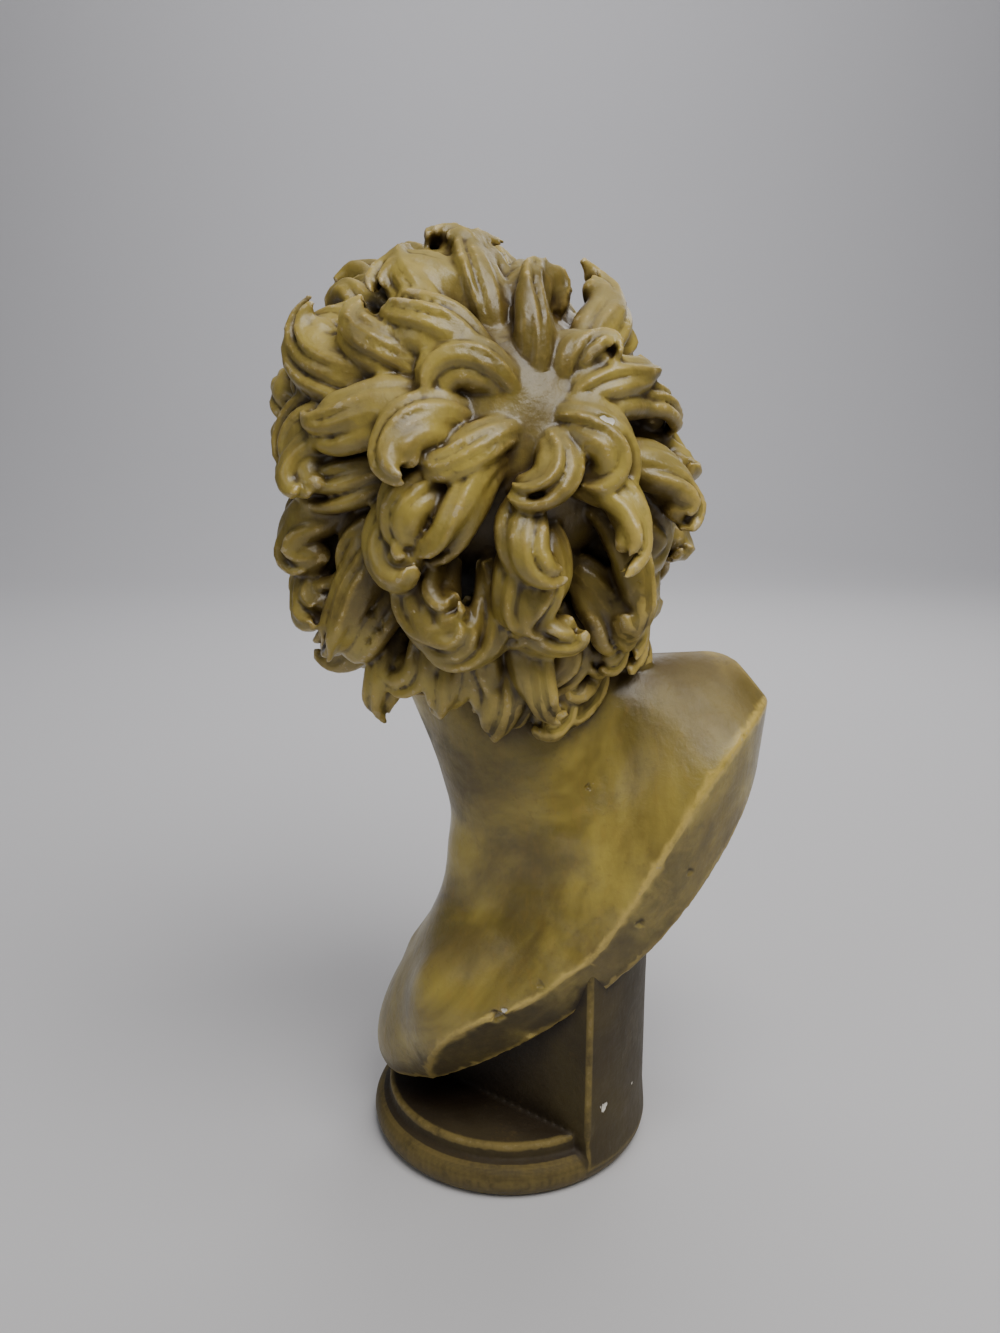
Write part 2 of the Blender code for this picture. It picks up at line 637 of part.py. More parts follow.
def socle():
    """The moulded foot, the waisted column under the chest and the plain pier behind it."""
    foot = lathe("foot", turned_profile(), SOCLE_SIDES)
    fillet_base = WAIST_RADIUS + COLUMN_FILLET
    fillet_top = SOCLE_HEIGHT + COLUMN_MOULDING
    neck = [(fillet_base, SOCLE_HEIGHT - COLUMN_ROOT, 0.0)]
    neck.append((fillet_base, SOCLE_HEIGHT + 0.3 * COLUMN_MOULDING, 0.0))
    neck.append((WAIST_RADIUS + 0.55 * COLUMN_FILLET, SOCLE_HEIGHT + 0.6 * COLUMN_MOULDING, 0.0))
    neck.append((WAIST_RADIUS + 0.25 * COLUMN_FILLET, fillet_top, 0.0))
    neck += [(WAIST_RADIUS, fillet_top, 0.45), (WAIST_RADIUS + 0.5 * COLUMN_FLARE, fillet_top, 0.85)]
    neck.append((WAIST_RADIUS + COLUMN_FLARE, fillet_top, 1.0))
    column = upright("column", neck, RECESS_OFFSET - COLUMN_SET_BACK, COLUMN_SUNK)
    bulge = TORUS_RADIUS + PIER_PROUD - FOOT_RADIUS
    wall = [(FOOT_RADIUS + 0.3 * bulge, 0.06 * TORUS_HEIGHT, 0.0)]
    wall.append((FOOT_RADIUS + 0.7 * bulge, 0.2 * TORUS_HEIGHT, 0.0))
    wall.append((FOOT_RADIUS + bulge, TORUS_HEIGHT / 2.0, 0.0))
    wall += [(PIER_RADIUS, SOCLE_HEIGHT, 0.0), (PIER_RADIUS, SOCLE_HEIGHT, 1.0)]
    pier = upright("pier", wall, RECESS_OFFSET, PIER_SUNK, -PIER_FRONT, PIER_LEFT)
    for part in (column, pier):
        boolean(foot, "UNION", as_cutter(part))
    applied(foot)
    bpy.data.objects.remove(column)
    bpy.data.objects.remove(pier)
    return foot


def main():
    for made in list(bpy.data.objects):
        bpy.data.objects.remove(made)
    figure = sculpted_figure()
    foot = socle()
    boolean(foot, "UNION", figure)
    applied(foot)
    bpy.data.objects.remove(figure)
    foot.name = "plaster_bust"
    foot.data.materials.clear()
    foot.data.materials.append(waxed_plaster())
    foot.data.shade_smooth()
    foot.data.set_sharp_from_angle(angle=math.radians(40.0))


main()
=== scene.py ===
"""The looks of the plaster bust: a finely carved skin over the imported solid, its moulded socle, and a
waxed olive bronze patina on both.

Metres, +Z up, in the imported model's own frame: the socle's underside is at the origin, the chest faces -Y
and the figure's right shoulder is at -X. The figure is sculpted in shares of its head's height.
"""

import math

import bpy
import numpy as np
from mathutils import Euler, Matrix, Vector, noise
from mathutils.bvhtree import BVHTree
from mathutils.kdtree import KDTree


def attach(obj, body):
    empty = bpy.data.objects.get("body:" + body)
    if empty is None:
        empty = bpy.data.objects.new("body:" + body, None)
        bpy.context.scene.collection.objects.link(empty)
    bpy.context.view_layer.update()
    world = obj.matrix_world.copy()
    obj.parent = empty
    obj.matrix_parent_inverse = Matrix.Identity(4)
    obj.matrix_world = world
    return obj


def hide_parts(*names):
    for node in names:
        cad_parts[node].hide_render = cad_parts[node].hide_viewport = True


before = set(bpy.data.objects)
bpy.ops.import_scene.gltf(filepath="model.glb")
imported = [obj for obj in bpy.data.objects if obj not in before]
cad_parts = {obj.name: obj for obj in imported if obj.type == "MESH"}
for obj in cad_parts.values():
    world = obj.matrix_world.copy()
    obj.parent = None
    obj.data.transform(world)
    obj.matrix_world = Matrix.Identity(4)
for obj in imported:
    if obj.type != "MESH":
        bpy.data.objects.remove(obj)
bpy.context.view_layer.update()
NODE = "plaster_bust"

# The photograph's frame, in its pixels, and the place that it was taken from
PHOTO_WIDTH = 1000
PHOTO_HEIGHT = 1333
FOCAL_PIXELS = 1100.0
CAMERA_PLACE = Vector((0.0067, 0.715, 0.523))
CAMERA_PITCH = math.radians(14.4)
SENSOR = 36.0

# Socle
FOOT_RADIUS = 0.0900
TORUS_RADIUS = 0.0990
TORUS_HEIGHT = 0.0230
RING_RADIUS = 0.0880
SOCLE_HEIGHT = 0.0340
WAIST_RADIUS = 0.0700
PIER_RADIUS = 0.0975
RECESS_OFFSET = 0.0350
RECESS_TURN = math.radians(-37.0)
PIER_FRONT = 0.0300
PIER_LEFT = 0.0660
PIER_SUNK = 0.0500
COLUMN_SUNK = 0.0775
SOCLE_SIDES = 128
SOCLE_VOXEL = 0.0014
SOCLE_EASING = 2
SOCLE_TRIANGLES = 60000

# Figure
HEAD = 0.2500
NECK_ROOT_RISE = 0.2060
NECK_ROOT_SIDE = -0.0300
TORSO_LEAN = math.radians(40.0)
HEAD_YAW = math.radians(45.0)
HEAD_ROLL = math.radians(6.0)
HEAD_PITCH = math.radians(-18.0)
HEAD_CENTRE = (0.255, 0.0, 0.910)

# Carving
TORSO_BOX = ((-1.00, -0.48, -0.66), (0.64, 0.48, 1.00))
TORSO_GRID = 0.0090
FACE_BOX = ((-0.46, -0.62, -0.60), (0.46, 0.54, 0.54))
FACE_GRID = 0.0065
GRID_PARTS = 64
FIGURE_VOXEL = 0.0015
FIGURE_EASING = 5
FIGURE_TRIANGLES = 145000
LONGEST_EDGE = 0.0080
SWELL = 0.0005
SWELL_SCALE = 16.0
KNOCK = 0.0008
KNOCK_SCALE = 120.0
KNOCK_FROM = 0.30
KNOCK_CONTRAST = 2.5
SEED = 8

NECK_ROOT = Vector((NECK_ROOT_SIDE, 0.0, SOCLE_HEIGHT + NECK_ROOT_RISE))
TORSO_AXES = Matrix(
    (
        (-math.cos(TORSO_LEAN), 0.0, math.sin(TORSO_LEAN)),
        (0.0, -1.0, 0.0),
        (math.sin(TORSO_LEAN), 0.0, math.cos(TORSO_LEAN)),
    )
).transposed()
HEAD_TURN = Euler((HEAD_PITCH, HEAD_ROLL, HEAD_YAW)).to_matrix()
HEAD_ORIGIN = NECK_ROOT + Vector(HEAD_CENTRE) * HEAD


def from_torso(points):
    """World places of points given in head heights along the figure's right, its front and its neck."""
    return np.array(NECK_ROOT) + HEAD * np.asarray(points, float) @ np.array(TORSO_AXES).T


def from_head(points):
    """World places of points given in head heights from the head's centre, with the face at -Y."""
    return np.array(HEAD_ORIGIN) + HEAD * np.asarray(points, float) @ np.array(HEAD_TURN).T


# Distances to simple forms, negative inside


def ellipsoid(points, centre, radii):
    offset = points - np.asarray(centre)
    near = np.linalg.norm(offset / np.asarray(radii), axis=1)
    far = np.linalg.norm(offset / np.asarray(radii) ** 2, axis=1)
    return near * (near - 1.0) / np.maximum(far, 1e-9)


def limb(points, start, end, start_radius, end_radius):
    start, along = np.asarray(start, float), np.asarray(end, float) - np.asarray(start, float)
    share = np.clip((points - start) @ along / (along @ along), 0.0, 1.0)
    across = np.linalg.norm(points - start - share[:, None] * along, axis=1)
    return across - start_radius - (end_radius - start_radius) * share


def blend(first, second, width):
    """The union of two forms, with a fillet of about this width."""
    share = np.clip(0.5 + 0.5 * (second - first) / width, 0.0, 1.0)
    return second * (1.0 - share) + first * share - width * share * (1.0 - share)


def carve(form, cutter, width):
    """The first form less the second, with a rounded edge of about this width."""
    return -blend(-form, cutter, width)


def both_sides(points, form, centre, *sizes):
    """The nearer of a form and its mirror image across the face's middle."""
    folded = np.concatenate((np.abs(points[:, :1]), points[:, 1:]), 1)
    return form(folded, centre, *sizes)


# The figure's forms


def neck_ends():
    return from_torso([(-0.06, 0.0, -0.10)])[0], from_head([(0.0, 0.10, -0.22)])[0]


def torso_distance(points):
    """Neck, shoulders and upper chest, in metres, without the cut."""
    local = (points - np.array(NECK_ROOT)) @ np.array(TORSO_AXES) / HEAD
    form = ellipsoid(local, (-0.075, 0.0, -0.30), (0.80, 0.35, 0.29))
    form = blend(form, ellipsoid(local, (-0.12, 0.03, -0.60), (0.66, 0.40, 0.62)), 0.10)
    form = blend(form, ellipsoid(local, (-0.46, -0.20, -0.32), (0.22, 0.15, 0.26)), 0.08)
    form = blend(form, ellipsoid(local, (0.30, -0.15, -0.20), (0.30, 0.17, 0.27)), 0.16)
    form = blend(form, limb(local, (0.10, -0.08, 0.30), (0.51, -0.02, -0.020), 0.14, 0.13), 0.12)
    form = blend(form, limb(local, (-0.22, -0.06, 0.02), (-0.58, -0.04, -0.22), 0.10, 0.07), 0.07)
    for side in (-1.0, 1.0):
        chest = ellipsoid(local, (-0.12 + 0.30 * side, 0.25, -0.56), (0.32, 0.18, 0.26))
        form = blend(form, chest, 0.08)
        pit, tip = (-0.12 + 0.06 * side, 0.33, -0.19), (-0.08 + 0.50 * side, 0.07, -0.12)
        form = blend(form, limb(local, pit, tip, 0.032, 0.024), 0.06)
    form = carve(form, limb(local, (-0.10, -0.46, -0.10), (-0.12, -0.50, -0.60), 0.08, 0.08), 0.10)
    form *= HEAD
    low, high = neck_ends()
    form = blend(form, limb(points, low, high, 0.262 * HEAD, 0.225 * HEAD), 0.10 * HEAD)
    nape = from_head([(0.0, 0.20, -0.30)])[0]
    back = from_torso([(0.02, -0.16, 0.0)])[0]
    form = blend(form, limb(points, back, nape, 0.13 * HEAD, 0.11 * HEAD), 0.06 * HEAD)
    for side in (-1.0, 1.0):
        behind_ear = from_head([(0.235 * side, 0.06, -0.30)])[0]
        pit = from_torso([(-0.12 - 0.05 * side, 0.275, -0.17)])[0]
        form = blend(form, limb(points, pit, behind_ear, 0.040 * HEAD, 0.060 * HEAD), 0.10 * HEAD)
    gullet, chin = from_torso([(-0.12, 0.19, -0.06)])[0], from_head([(0.0, -0.14, -0.40)])[0]
    return blend(form, limb(points, gullet, chin, 0.08 * HEAD, 0.11 * HEAD), 0.10 * HEAD)


def head_distance(points):
    """Skull and face on a sculptor's canon, in head heights, in the head's own axes."""
    form = ellipsoid(points, (0.0, 0.03, 0.08), (0.335, 0.435, 0.39))
    form = blend(form, ellipsoid(points, (0.0, -0.16, -0.25), (0.235, 0.25, 0.27)), 0.10)
    form = blend(form, both_sides(points, ellipsoid, (0.17, -0.25, -0.13), (0.11, 0.12, 0.08)), 0.07)
    brow = both_sides(points, limb, (0.03, -0.385, 0.010), (0.20, -0.305, 0.025), 0.034, 0.030)
    form = blend(form, brow, 0.04)
    form = carve(form, both_sides(points, ellipsoid, (0.132, -0.425, -0.050), (0.085, 0.085, 0.050)), 0.05)
    form = blend(form, limb(points, (0.0, -0.350, -0.020), (0.0, -0.425, -0.215), 0.040, 0.060), 0.05)
    form = blend(form, limb(points, (0.0, -0.390, -0.015), (0.0, -0.480, -0.215), 0.026, 0.036), 0.035)
    form = blend(form, ellipsoid(points, (0.0, -0.488, -0.232), (0.040, 0.042, 0.034)), 0.02)
    form = blend(form, both_sides(points, ellipsoid, (0.046, -0.455, -0.243), (0.032, 0.045, 0.028)), 0.015)
    eye = (0.130, -0.330, -0.048)
    ball = both_sides(points, ellipsoid, eye, (0.062, 0.062, 0.062))
    lid = both_sides(points, ellipsoid, eye, (0.074, 0.072, 0.068))
    across = (np.abs(points[:, 0]) - eye[0]) / 0.066
    opening = np.abs(points[:, 2] - eye[2] + 0.004) - 0.024 * (1.0 - across**2)
    form = blend(form, np.minimum(np.maximum(lid, -opening), ball), 0.008)
    form = blend(form, both_sides(points, ellipsoid, (0.034, -0.402, -0.345), (0.052, 0.032, 0.017)), 0.012)
    form = blend(form, ellipsoid(points, (0.0, -0.400, -0.385), (0.070, 0.032, 0.021)), 0.010)
    form = blend(form, both_sides(points, ellipsoid, (0.335, 0.03, -0.14), (0.045, 0.085, 0.125)), 0.02)
    return carve(form, both_sides(points, ellipsoid, (0.385, 0.010, -0.13), (0.030, 0.050, 0.080)), 0.015)


def surface_of(distance, box, grid):
    """A closed skin of four-sided faces where a distance changes sign: (points, faces).

    Each cell of the grid that the form's surface runs through gets one point, midway between the places
    where the surface crosses the cell's edges, and each crossed edge gets a face between its four cells.
    """
    low, high = np.array(box)
    counts = np.ceil((high - low) / grid).astype(int) + 1
    knots = np.stack(np.meshgrid(*[np.arange(count) for count in counts], indexing="ij"), -1).reshape(-1, 3)
    values = np.concatenate([distance(low + grid * part) for part in np.array_split(knots, GRID_PARTS)])
    values = values.reshape(counts)
    rim = np.ones(counts, bool)
    rim[1:-1, 1:-1, 1:-1] = False
    values[rim] = np.maximum(values[rim], grid)
    crossings, cells = [], []
    for axis in range(3):
        here = np.delete(values, -1, axis)
        there = np.delete(values, 0, axis)
        crossed = (here < 0.0) != (there < 0.0)
        edge = np.argwhere(crossed)
        place = edge.astype(float)
        place[:, axis] += here[crossed] / (here[crossed] - there[crossed])
        one, other = [side for side in range(3) if side != axis]
        around = np.repeat(edge[:, None], 4, axis=1)
        around[:, 1:3, one] -= 1
        around[:, 2:4, other] -= 1
        crossings.append(np.repeat(place, 4, axis=0))
        cells.append(np.ravel_multi_index(around.reshape(-1, 3).T, counts))
    used, faces = np.unique(np.concatenate(cells), return_inverse=True)
    places = np.concatenate(crossings)
    shares = np.bincount(faces)
    points = np.stack([np.bincount(faces, places[:, axis]) / shares for axis in range(3)], -1)
    return low + grid * points, faces.reshape(-1, 4).tolist()


# Locks of hair and beard


def unit(vectors):
    return vectors / np.maximum(np.linalg.norm(vectors, axis=-1, keepdims=True), 1e-9)


class HairyForm:
    """An ellipsoid that locks grow on, which may be longer below its middle than above it."""

    def __init__(self, centre, radii, radius_below):
        self.centre = np.array(centre)
        self.radii = np.array(radii)
        self.radius_below = radius_below

    def radii_at(self, points):
        radii = np.broadcast_to(self.radii, points.shape).copy()
        radii[..., 2] = np.where(points[..., 2] < self.centre[2], self.radius_below, self.radii[2])
        return radii

    def laid_on(self, points):
        offset = points - self.centre
        return self.centre + offset / np.linalg.norm(offset / self.radii_at(points), axis=-1, keepdims=True)

    def normal(self, points):
        return unit((points - self.centre) / self.radii_at(points) ** 2)


SCALP = HairyForm((0.0, 0.04, 0.03), (0.355, 0.455, 0.425), 0.85)
JAW = HairyForm((0.0, -0.13, -0.29), (0.245, 0.290, 0.200), 0.290)
LOCK_RINGS = 16
LOCK_SIDES = 10
STRANDS = 4
LOCK_ARCH = ((0.0, 0.20, 0.50, 0.80, 1.0), (-0.05, 0.34, 0.80, 1.0, 0.86))
LOCK_SHAPE = ((0.0, 0.10, 0.40, 0.70, 0.90, 1.0), (0.45, 0.75, 1.0, 0.94, 0.70, 0.30))
LOCK_SPREAD = ((0.0, 0.35, 0.75, 1.0), (0.55, 1.0, 0.85, 0.28))


def turned(vectors, axes, angles):
    """Each vector turned about its axis, which it is square to."""
    angles = np.asarray(angles)[..., None]
    return vectors * np.cos(angles) + np.cross(axes, vectors) * np.sin(angles)


def lock_lines(form, roots, headings, lengths, turns, hooks, lifts, tips):
    """The centre line and the outward direction of each lock, as it runs over its form."""
    places, outward = [], []
    point, heading = form.laid_on(roots), headings
    for ring in range(LOCK_RINGS):
        share = ring / (LOCK_RINGS - 1)
        normal = form.normal(point)
        heading = unit(heading - normal * np.sum(heading * normal, axis=1, keepdims=True))
        rise = lifts * np.interp(share, *LOCK_ARCH) + tips * share**3
        places.append(point + normal * rise[:, None])
        outward.append(normal)
        step = lengths / (LOCK_RINGS - 1)
        heading = turned(heading, normal, (turns + hooks * 3.0 * share**2) / (LOCK_RINGS - 1))
        point = form.laid_on(point + heading * step[:, None])
    return np.stack(places, 1), np.stack(outward, 1)


def strand_tubes(lines, outward, widths, heights, tilts):
    """Closed tubes with a leaf's outline along the lines: (points, faces)."""
    count, rings = lines.shape[:2]
    along = unit(np.gradient(lines, axis=1))
    side = unit(np.cross(along, outward))
    up = np.cross(side, along)
    tilt = tilts[:, None, None]
    side, up = side * np.cos(tilt) + up * np.sin(tilt), up * np.cos(tilt) - side * np.sin(tilt)
    share = np.linspace(0.0, 1.0, rings)
    shape = np.interp(share, *LOCK_SHAPE)
    angle = np.linspace(0.0, 2.0 * math.pi, LOCK_SIDES, endpoint=False)
    across = np.cos(angle)[None, None, :, None] * (widths[:, None] * shape)[..., None, None]
    above = np.sin(angle)[None, None, :, None] * (heights[:, None] * shape)[..., None, None]
    tubes = lines[:, :, None] + side[:, :, None] * across + up[:, :, None] * above
    points = tubes.reshape(-1, 3)
    ring, corner = np.meshgrid(np.arange(rings - 1), np.arange(LOCK_SIDES), indexing="ij")
    after = (corner + 1) % LOCK_SIDES
    walls = np.stack(
        (
            ring * LOCK_SIDES + corner,
            (ring + 1) * LOCK_SIDES + corner,
            (ring + 1) * LOCK_SIDES + after,
            ring * LOCK_SIDES + after,
        ),
        -1,
    ).reshape(-1, 4)
    faces = []
    for tube in range(count):
        first = tube * rings * LOCK_SIDES
        faces.extend((walls + first).tolist())
        faces.append([first + corner for corner in range(LOCK_SIDES)])
        last = first + (rings - 1) * LOCK_SIDES
        faces.append([last + corner for corner in reversed(range(LOCK_SIDES))])
    return points, faces


CROWN = unit(np.array(HEAD_TURN).T @ np.array((-0.43, 0.81, 0.40)))
DOWN = np.array(HEAD_TURN).T @ np.array((0.0, 0.0, -1.0))
HAIRLINE = ((0.0, 40.0, 62.0, 76.0, 92.0, 108.0, 180.0), (35.0, 30.0, 10.0, -14.0, -32.0, -42.0, -45.0))
LENGTH_BY_FACE = ((55.0, 72.0, 95.0), (1.0, 0.62, 1.0))
TIER_ANGLES = (9.0, 23.0, 37.0, 51.0, 65.0, 79.0, 93.0, 107.0, 121.0, 135.0)
LOCK_SPACING = 0.104
LOCK_LENGTH = 0.262
STRAND_WIDTH = 0.0165
STRAND_GAP = 0.0325
CORE_WIDTH = 0.048
BEARD_ROWS = ((12.0, 58.0, 8), (-14.0, 34.0, 9), (-38.0, 0.0, 9), (-60.0, 0.0, 7))
BEARD_LENGTH = 0.21
BEARD_LIFT = 0.060
LOCK_LIFT = 0.112


def round_face(directions):
    """How far round the head directions lie from the face's middle, in degrees."""
    return np.degrees(np.arctan2(np.abs(directions[:, 0]), -directions[:, 1]))


def in_hair(directions):
    """Whether hair grows in these directions from the head's centre: above the line round the face."""
    elevation = np.degrees(np.arcsin(directions[:, 2]))
    return elevation > np.interp(round_face(directions), *HAIRLINE)


def hair_roots(draw):
    """Roots in tiers round the crown, like tiles, with the tier that each is in."""
    side = unit(np.cross(CROWN, (0.3, 0.1, 1.0)))
    ahead = np.cross(CROWN, side)
    roots, tiers = [], []
    for tier, angle in enumerate(TIER_ANGLES):
        polar = math.radians(angle)
        count = max(7, round(2.0 * math.pi * math.sin(polar) * 0.44 / LOCK_SPACING))
        for place in range(count):
            azimuth = 2.0 * math.pi * (place + 0.5 * (tier % 2) + draw.uniform(-0.22, 0.22)) / count
            dip = polar + math.radians(draw.uniform(-4.5, 4.5))
            round_crown = side * math.cos(azimuth) + ahead * math.sin(azimuth)
            roots.append(CROWN * math.cos(dip) + round_crown * math.sin(dip))
            tiers.append(tier)
    return np.array(roots), np.array(tiers)


def hair(draw):
    """The locks of the scalp. Each swings round towards the side that it falls to."""
    roots, tiers = hair_roots(draw)
    count = len(roots)
    start = SCALP.laid_on(SCALP.centre + roots)
    normal = SCALP.normal(start)
    radial = unit(roots - CROWN * (roots @ CROWN)[:, None])
    radial = unit(radial - normal * np.sum(radial * normal, axis=1, keepdims=True))
    fall = DOWN - normal * (normal @ DOWN)[:, None]
    lean = np.sum(np.cross(radial, fall) * normal, axis=1)
    hand = np.where(lean + draw.uniform(-0.45, 0.45, count) > 0.0, 1.0, -1.0)
    headings = turned(radial, normal, -hand * draw.uniform(0.35, 0.85, count))
    lengths = LOCK_LENGTH * draw.uniform(0.80, 1.28, count) * np.where(tiers == 0, 0.90, 1.0)
    turns = hand * draw.uniform(1.2, 2.0, count)
    hooks = hand * draw.uniform(0.8, 2.8, count) * draw.choice([-1.3, 1.0], count, p=[0.38, 0.62])
    lifts = LOCK_LIFT * draw.uniform(0.78, 1.22, count) * np.where(tiers == 0, 0.6, 1.0)
    tips = draw.choice([-0.05, -0.02, 0.02, 0.06], count, p=[0.25, 0.30, 0.25, 0.20])
    lengths = lengths * np.interp(roots[:, 2], (-0.72, -0.45), (0.75, 1.0))
    lengths = lengths * np.interp(round_face(roots), *LENGTH_BY_FACE)
    grown = in_hair(roots)
    locks = (start, headings, lengths, turns, hooks, lifts, tips)
    return with_strands(draw, SCALP, [part[grown] for part in locks])


def beard(draw):
    """Rows of locks round the jaw, from below one ear to the other, clear of the mouth."""
    starts, hands = [], []
    for elevation, clear, count in BEARD_ROWS:
        for place in range(count):
            azimuth = -118.0 + 236.0 * (place + 0.5 + draw.uniform(-0.18, 0.18)) / count
            if abs(azimuth) < clear:
                continue
            turn, rise = math.radians(azimuth), math.radians(elevation + draw.uniform(-5.0, 5.0))
            level = math.cos(rise)
            starts.append((math.sin(turn) * level, -math.cos(turn) * level, math.sin(rise)))
            hands.append(math.copysign(1.0, azimuth) * draw.choice([-1.0, 1.0], p=[0.65, 0.35]))
    start, hand, count = JAW.laid_on(JAW.centre + np.array(starts)), np.array(hands), len(starts)
    normal = JAW.normal(start)
    falling = unit(np.array((0.0, -0.25, -1.0)) - normal * (normal @ (0.0, -0.25, -1.0))[:, None])
    headings = turned(falling, normal, -hand * draw.uniform(0.5, 0.9, count))
    lengths = BEARD_LENGTH * draw.uniform(0.85, 1.20, count)
    lifts = BEARD_LIFT * draw.uniform(0.75, 1.30, count)
    tips = draw.choice([0.0, 0.03, 0.06], count)
    turns = hand * draw.uniform(1.4, 2.2, count)
    hooks = hand * draw.uniform(0.3, 1.8, count) * draw.choice([-1.3, 1.0], count, p=[0.35, 0.65])
    return with_strands(draw, JAW, (start, headings, lengths, turns, hooks, lifts, tips))


def with_strands(draw, form, locks):
    """Each lock as a core with strands on it, which part at the belly, roll over and meet at the tip."""
    start, headings, lengths, turns, hooks, lifts, tips = locks
    count = len(start)
    lines, outwards, widths, heights, tilts = [], [], [], [], []
    share = np.linspace(0.0, 1.0, LOCK_RINGS)
    spread = np.interp(share, *LOCK_SPREAD)
    roll = draw.uniform(-0.9, 0.9, count)[:, None, None] * share[None, :, None]
    fullness = draw.uniform(0.82, 1.25, count)
    for strand in (None, *range(STRANDS)):
        offset = 0.0 if strand is None else strand - (STRANDS - 1) / 2.0
        stretch = 0.80 if strand is None else draw.uniform(0.90, 1.08, count) - 0.05 * abs(offset)
        bend = 1.0 if strand is None else draw.uniform(0.92, 1.10, count)
        sizes = (lengths * stretch, turns * bend, hooks, lifts, tips)
        line, outward = lock_lines(form, start, headings, *sizes)
        side = unit(np.cross(unit(np.gradient(line, axis=1)), outward))
        across = side * np.cos(roll) + outward * np.sin(roll)
        sink = 0.048 if strand is None else 0.009 * offset * offset
        gap = offset * STRAND_GAP * fullness[:, None, None] * spread[None, :, None]
        line = line + across * gap - outward * sink
        girth = CORE_WIDTH if strand is None else STRAND_WIDTH
        girth = girth * fullness * draw.uniform(0.90, 1.10, count)
        lines.append(line)
        outwards.append(outward)
        widths.append(girth)
        heights.append(girth * (1.0 if strand is None else 1.60) * draw.uniform(0.9, 1.15, count))
        tilts.append(draw.uniform(-0.2, 0.2, count) + 0.2 * offset)
    return [np.concatenate(part) for part in (lines, outwards, widths, heights, tilts)]


def moustache_tubes():
    """Two locks on each side, from under the nose round the corner of the mouth."""
    lines, outwards = [], []
    share = np.linspace(0.0, 1.0, LOCK_RINGS)
    for side in (-1.0, 1.0):
        for drop in (0.0, 0.030):
            across = side * (0.016 + 0.190 * share + 0.25 * drop)
            depth = -0.428 + 0.150 * share**1.6
            height = -0.300 - drop - 0.105 * share**1.4 + 0.018 * np.sin(math.pi * share)
            line = np.stack((across, depth, height), -1)
            lines.append(line)
            outwards.append(np.stack((side * share, share - 1.3, np.zeros_like(share)), -1))
    girths = np.full(len(lines), 0.024)
    return np.array(lines), unit(np.array(outwards)), girths, girths, 0.0 * girths


# Meshes and modelling steps


def mesh_object(name, points, faces):
    mesh = bpy.data.meshes.new(name)
    mesh.from_pydata(np.asarray(points).tolist(), [], [list(face) for face in faces])
    mesh.update()
    made = bpy.data.objects.new(name, mesh)
    bpy.context.scene.collection.objects.link(made)
    return made


def only(made):
    """Selects this object alone and makes it the active one."""
    bpy.ops.object.select_all(action="DESELECT")
    made.select_set(True)
    bpy.context.view_layer.objects.active = made
    return made


def facing_out(made):
    only(made)
    bpy.ops.object.mode_set(mode="EDIT")
    bpy.ops.mesh.select_all(action="SELECT")
    bpy.ops.mesh.normals_make_consistent(inside=False)
    bpy.ops.object.mode_set(mode="OBJECT")
    return made


def modified(made, kind, **settings):
    """A modifier added and applied at once."""
    only(made)
    modifier = made.modifiers.new(kind.lower(), kind)
    for name, value in settings.items():
        setattr(modifier, name, value)
    bpy.ops.object.modifier_apply(modifier=modifier.name)
    return made


def joined(name, parts):
    bpy.ops.object.select_all(action="DESELECT")
    for part in parts:
        part.select_set(True)
    bpy.context.view_layer.objects.active = parts[0]
    bpy.ops.object.join()
    parts[0].name = name
    return parts[0]


def split_once(made, kind, chosen):
    """Splits the chosen edges or faces of an object once and leaves triangles."""
    only(made)
    bpy.ops.object.mode_set(mode="EDIT")
    bpy.ops.mesh.select_mode(type=kind)
    bpy.ops.mesh.select_all(action="DESELECT")
    bpy.ops.object.mode_set(mode="OBJECT")
    elements = made.data.edges if kind == "EDGE" else made.data.polygons
    elements.foreach_set("select", chosen)
    bpy.ops.object.mode_set(mode="EDIT")
    bpy.ops.mesh.subdivide(number_cuts=1)
    bpy.ops.mesh.select_all(action="SELECT")
    bpy.ops.mesh.quads_convert_to_tris()
    bpy.ops.object.mode_set(mode="OBJECT")


def long_edges_split(made, longest):
    """Splits every edge that is longer than this, so that a flat face can carry the patina's values too."""
    for _ in range(3):
        ends = np.zeros(2 * len(made.data.edges), np.int64)
        made.data.edges.foreach_get("vertices", ends)
        points, _ = points_and_normals(made.data)
        lengths = np.linalg.norm(points[ends[0::2]] - points[ends[1::2]], axis=1)
        split_once(made, "EDGE", lengths > longest)
    return made


def unevenness(points, fine):
    """How far a cast's skin stands off its model: shallow swells all over, and knocks along sharp edges."""
    swell = np.array([noise.noise(point) for point in (points * SWELL_SCALE).tolist()])
    knock = np.array([noise.noise(point) for point in (points * KNOCK_SCALE).tolist()])
    sharp = np.clip(-fine - KNOCK_FROM, 0.0, 1.0)
    return SWELL * swell - KNOCK * sharp * np.clip(knock * KNOCK_CONTRAST, 0.0, 1.0)


def one_skin(made, voxel, easing, triangles):
    """The parts of a mesh grown together, eased and thinned: (object, the hollows of its full skin)."""
    facing_out(made)
    modified(made, "REMESH", mode="VOXEL", voxel_size=voxel)
    modified(made, "SMOOTH", factor=0.5, iterations=easing)
    hollows = hollows_of(made.data)
    points, fine, _ = hollows
    normals = points_and_normals(made.data)[1]
    points = points + normals * unevenness(points, fine)[:, None]
    points[:, 2] = np.maximum(points[:, 2], 0.0)
    made.data.vertices.foreach_set("co", points.ravel())
    made.data.update()
    found = sum(len(face.vertices) - 2 for face in made.data.polygons)
    modified(made, "DECIMATE", ratio=min(1.0, triangles / found))
    return long_edges_split(made, LONGEST_EDGE), hollows


# The figure


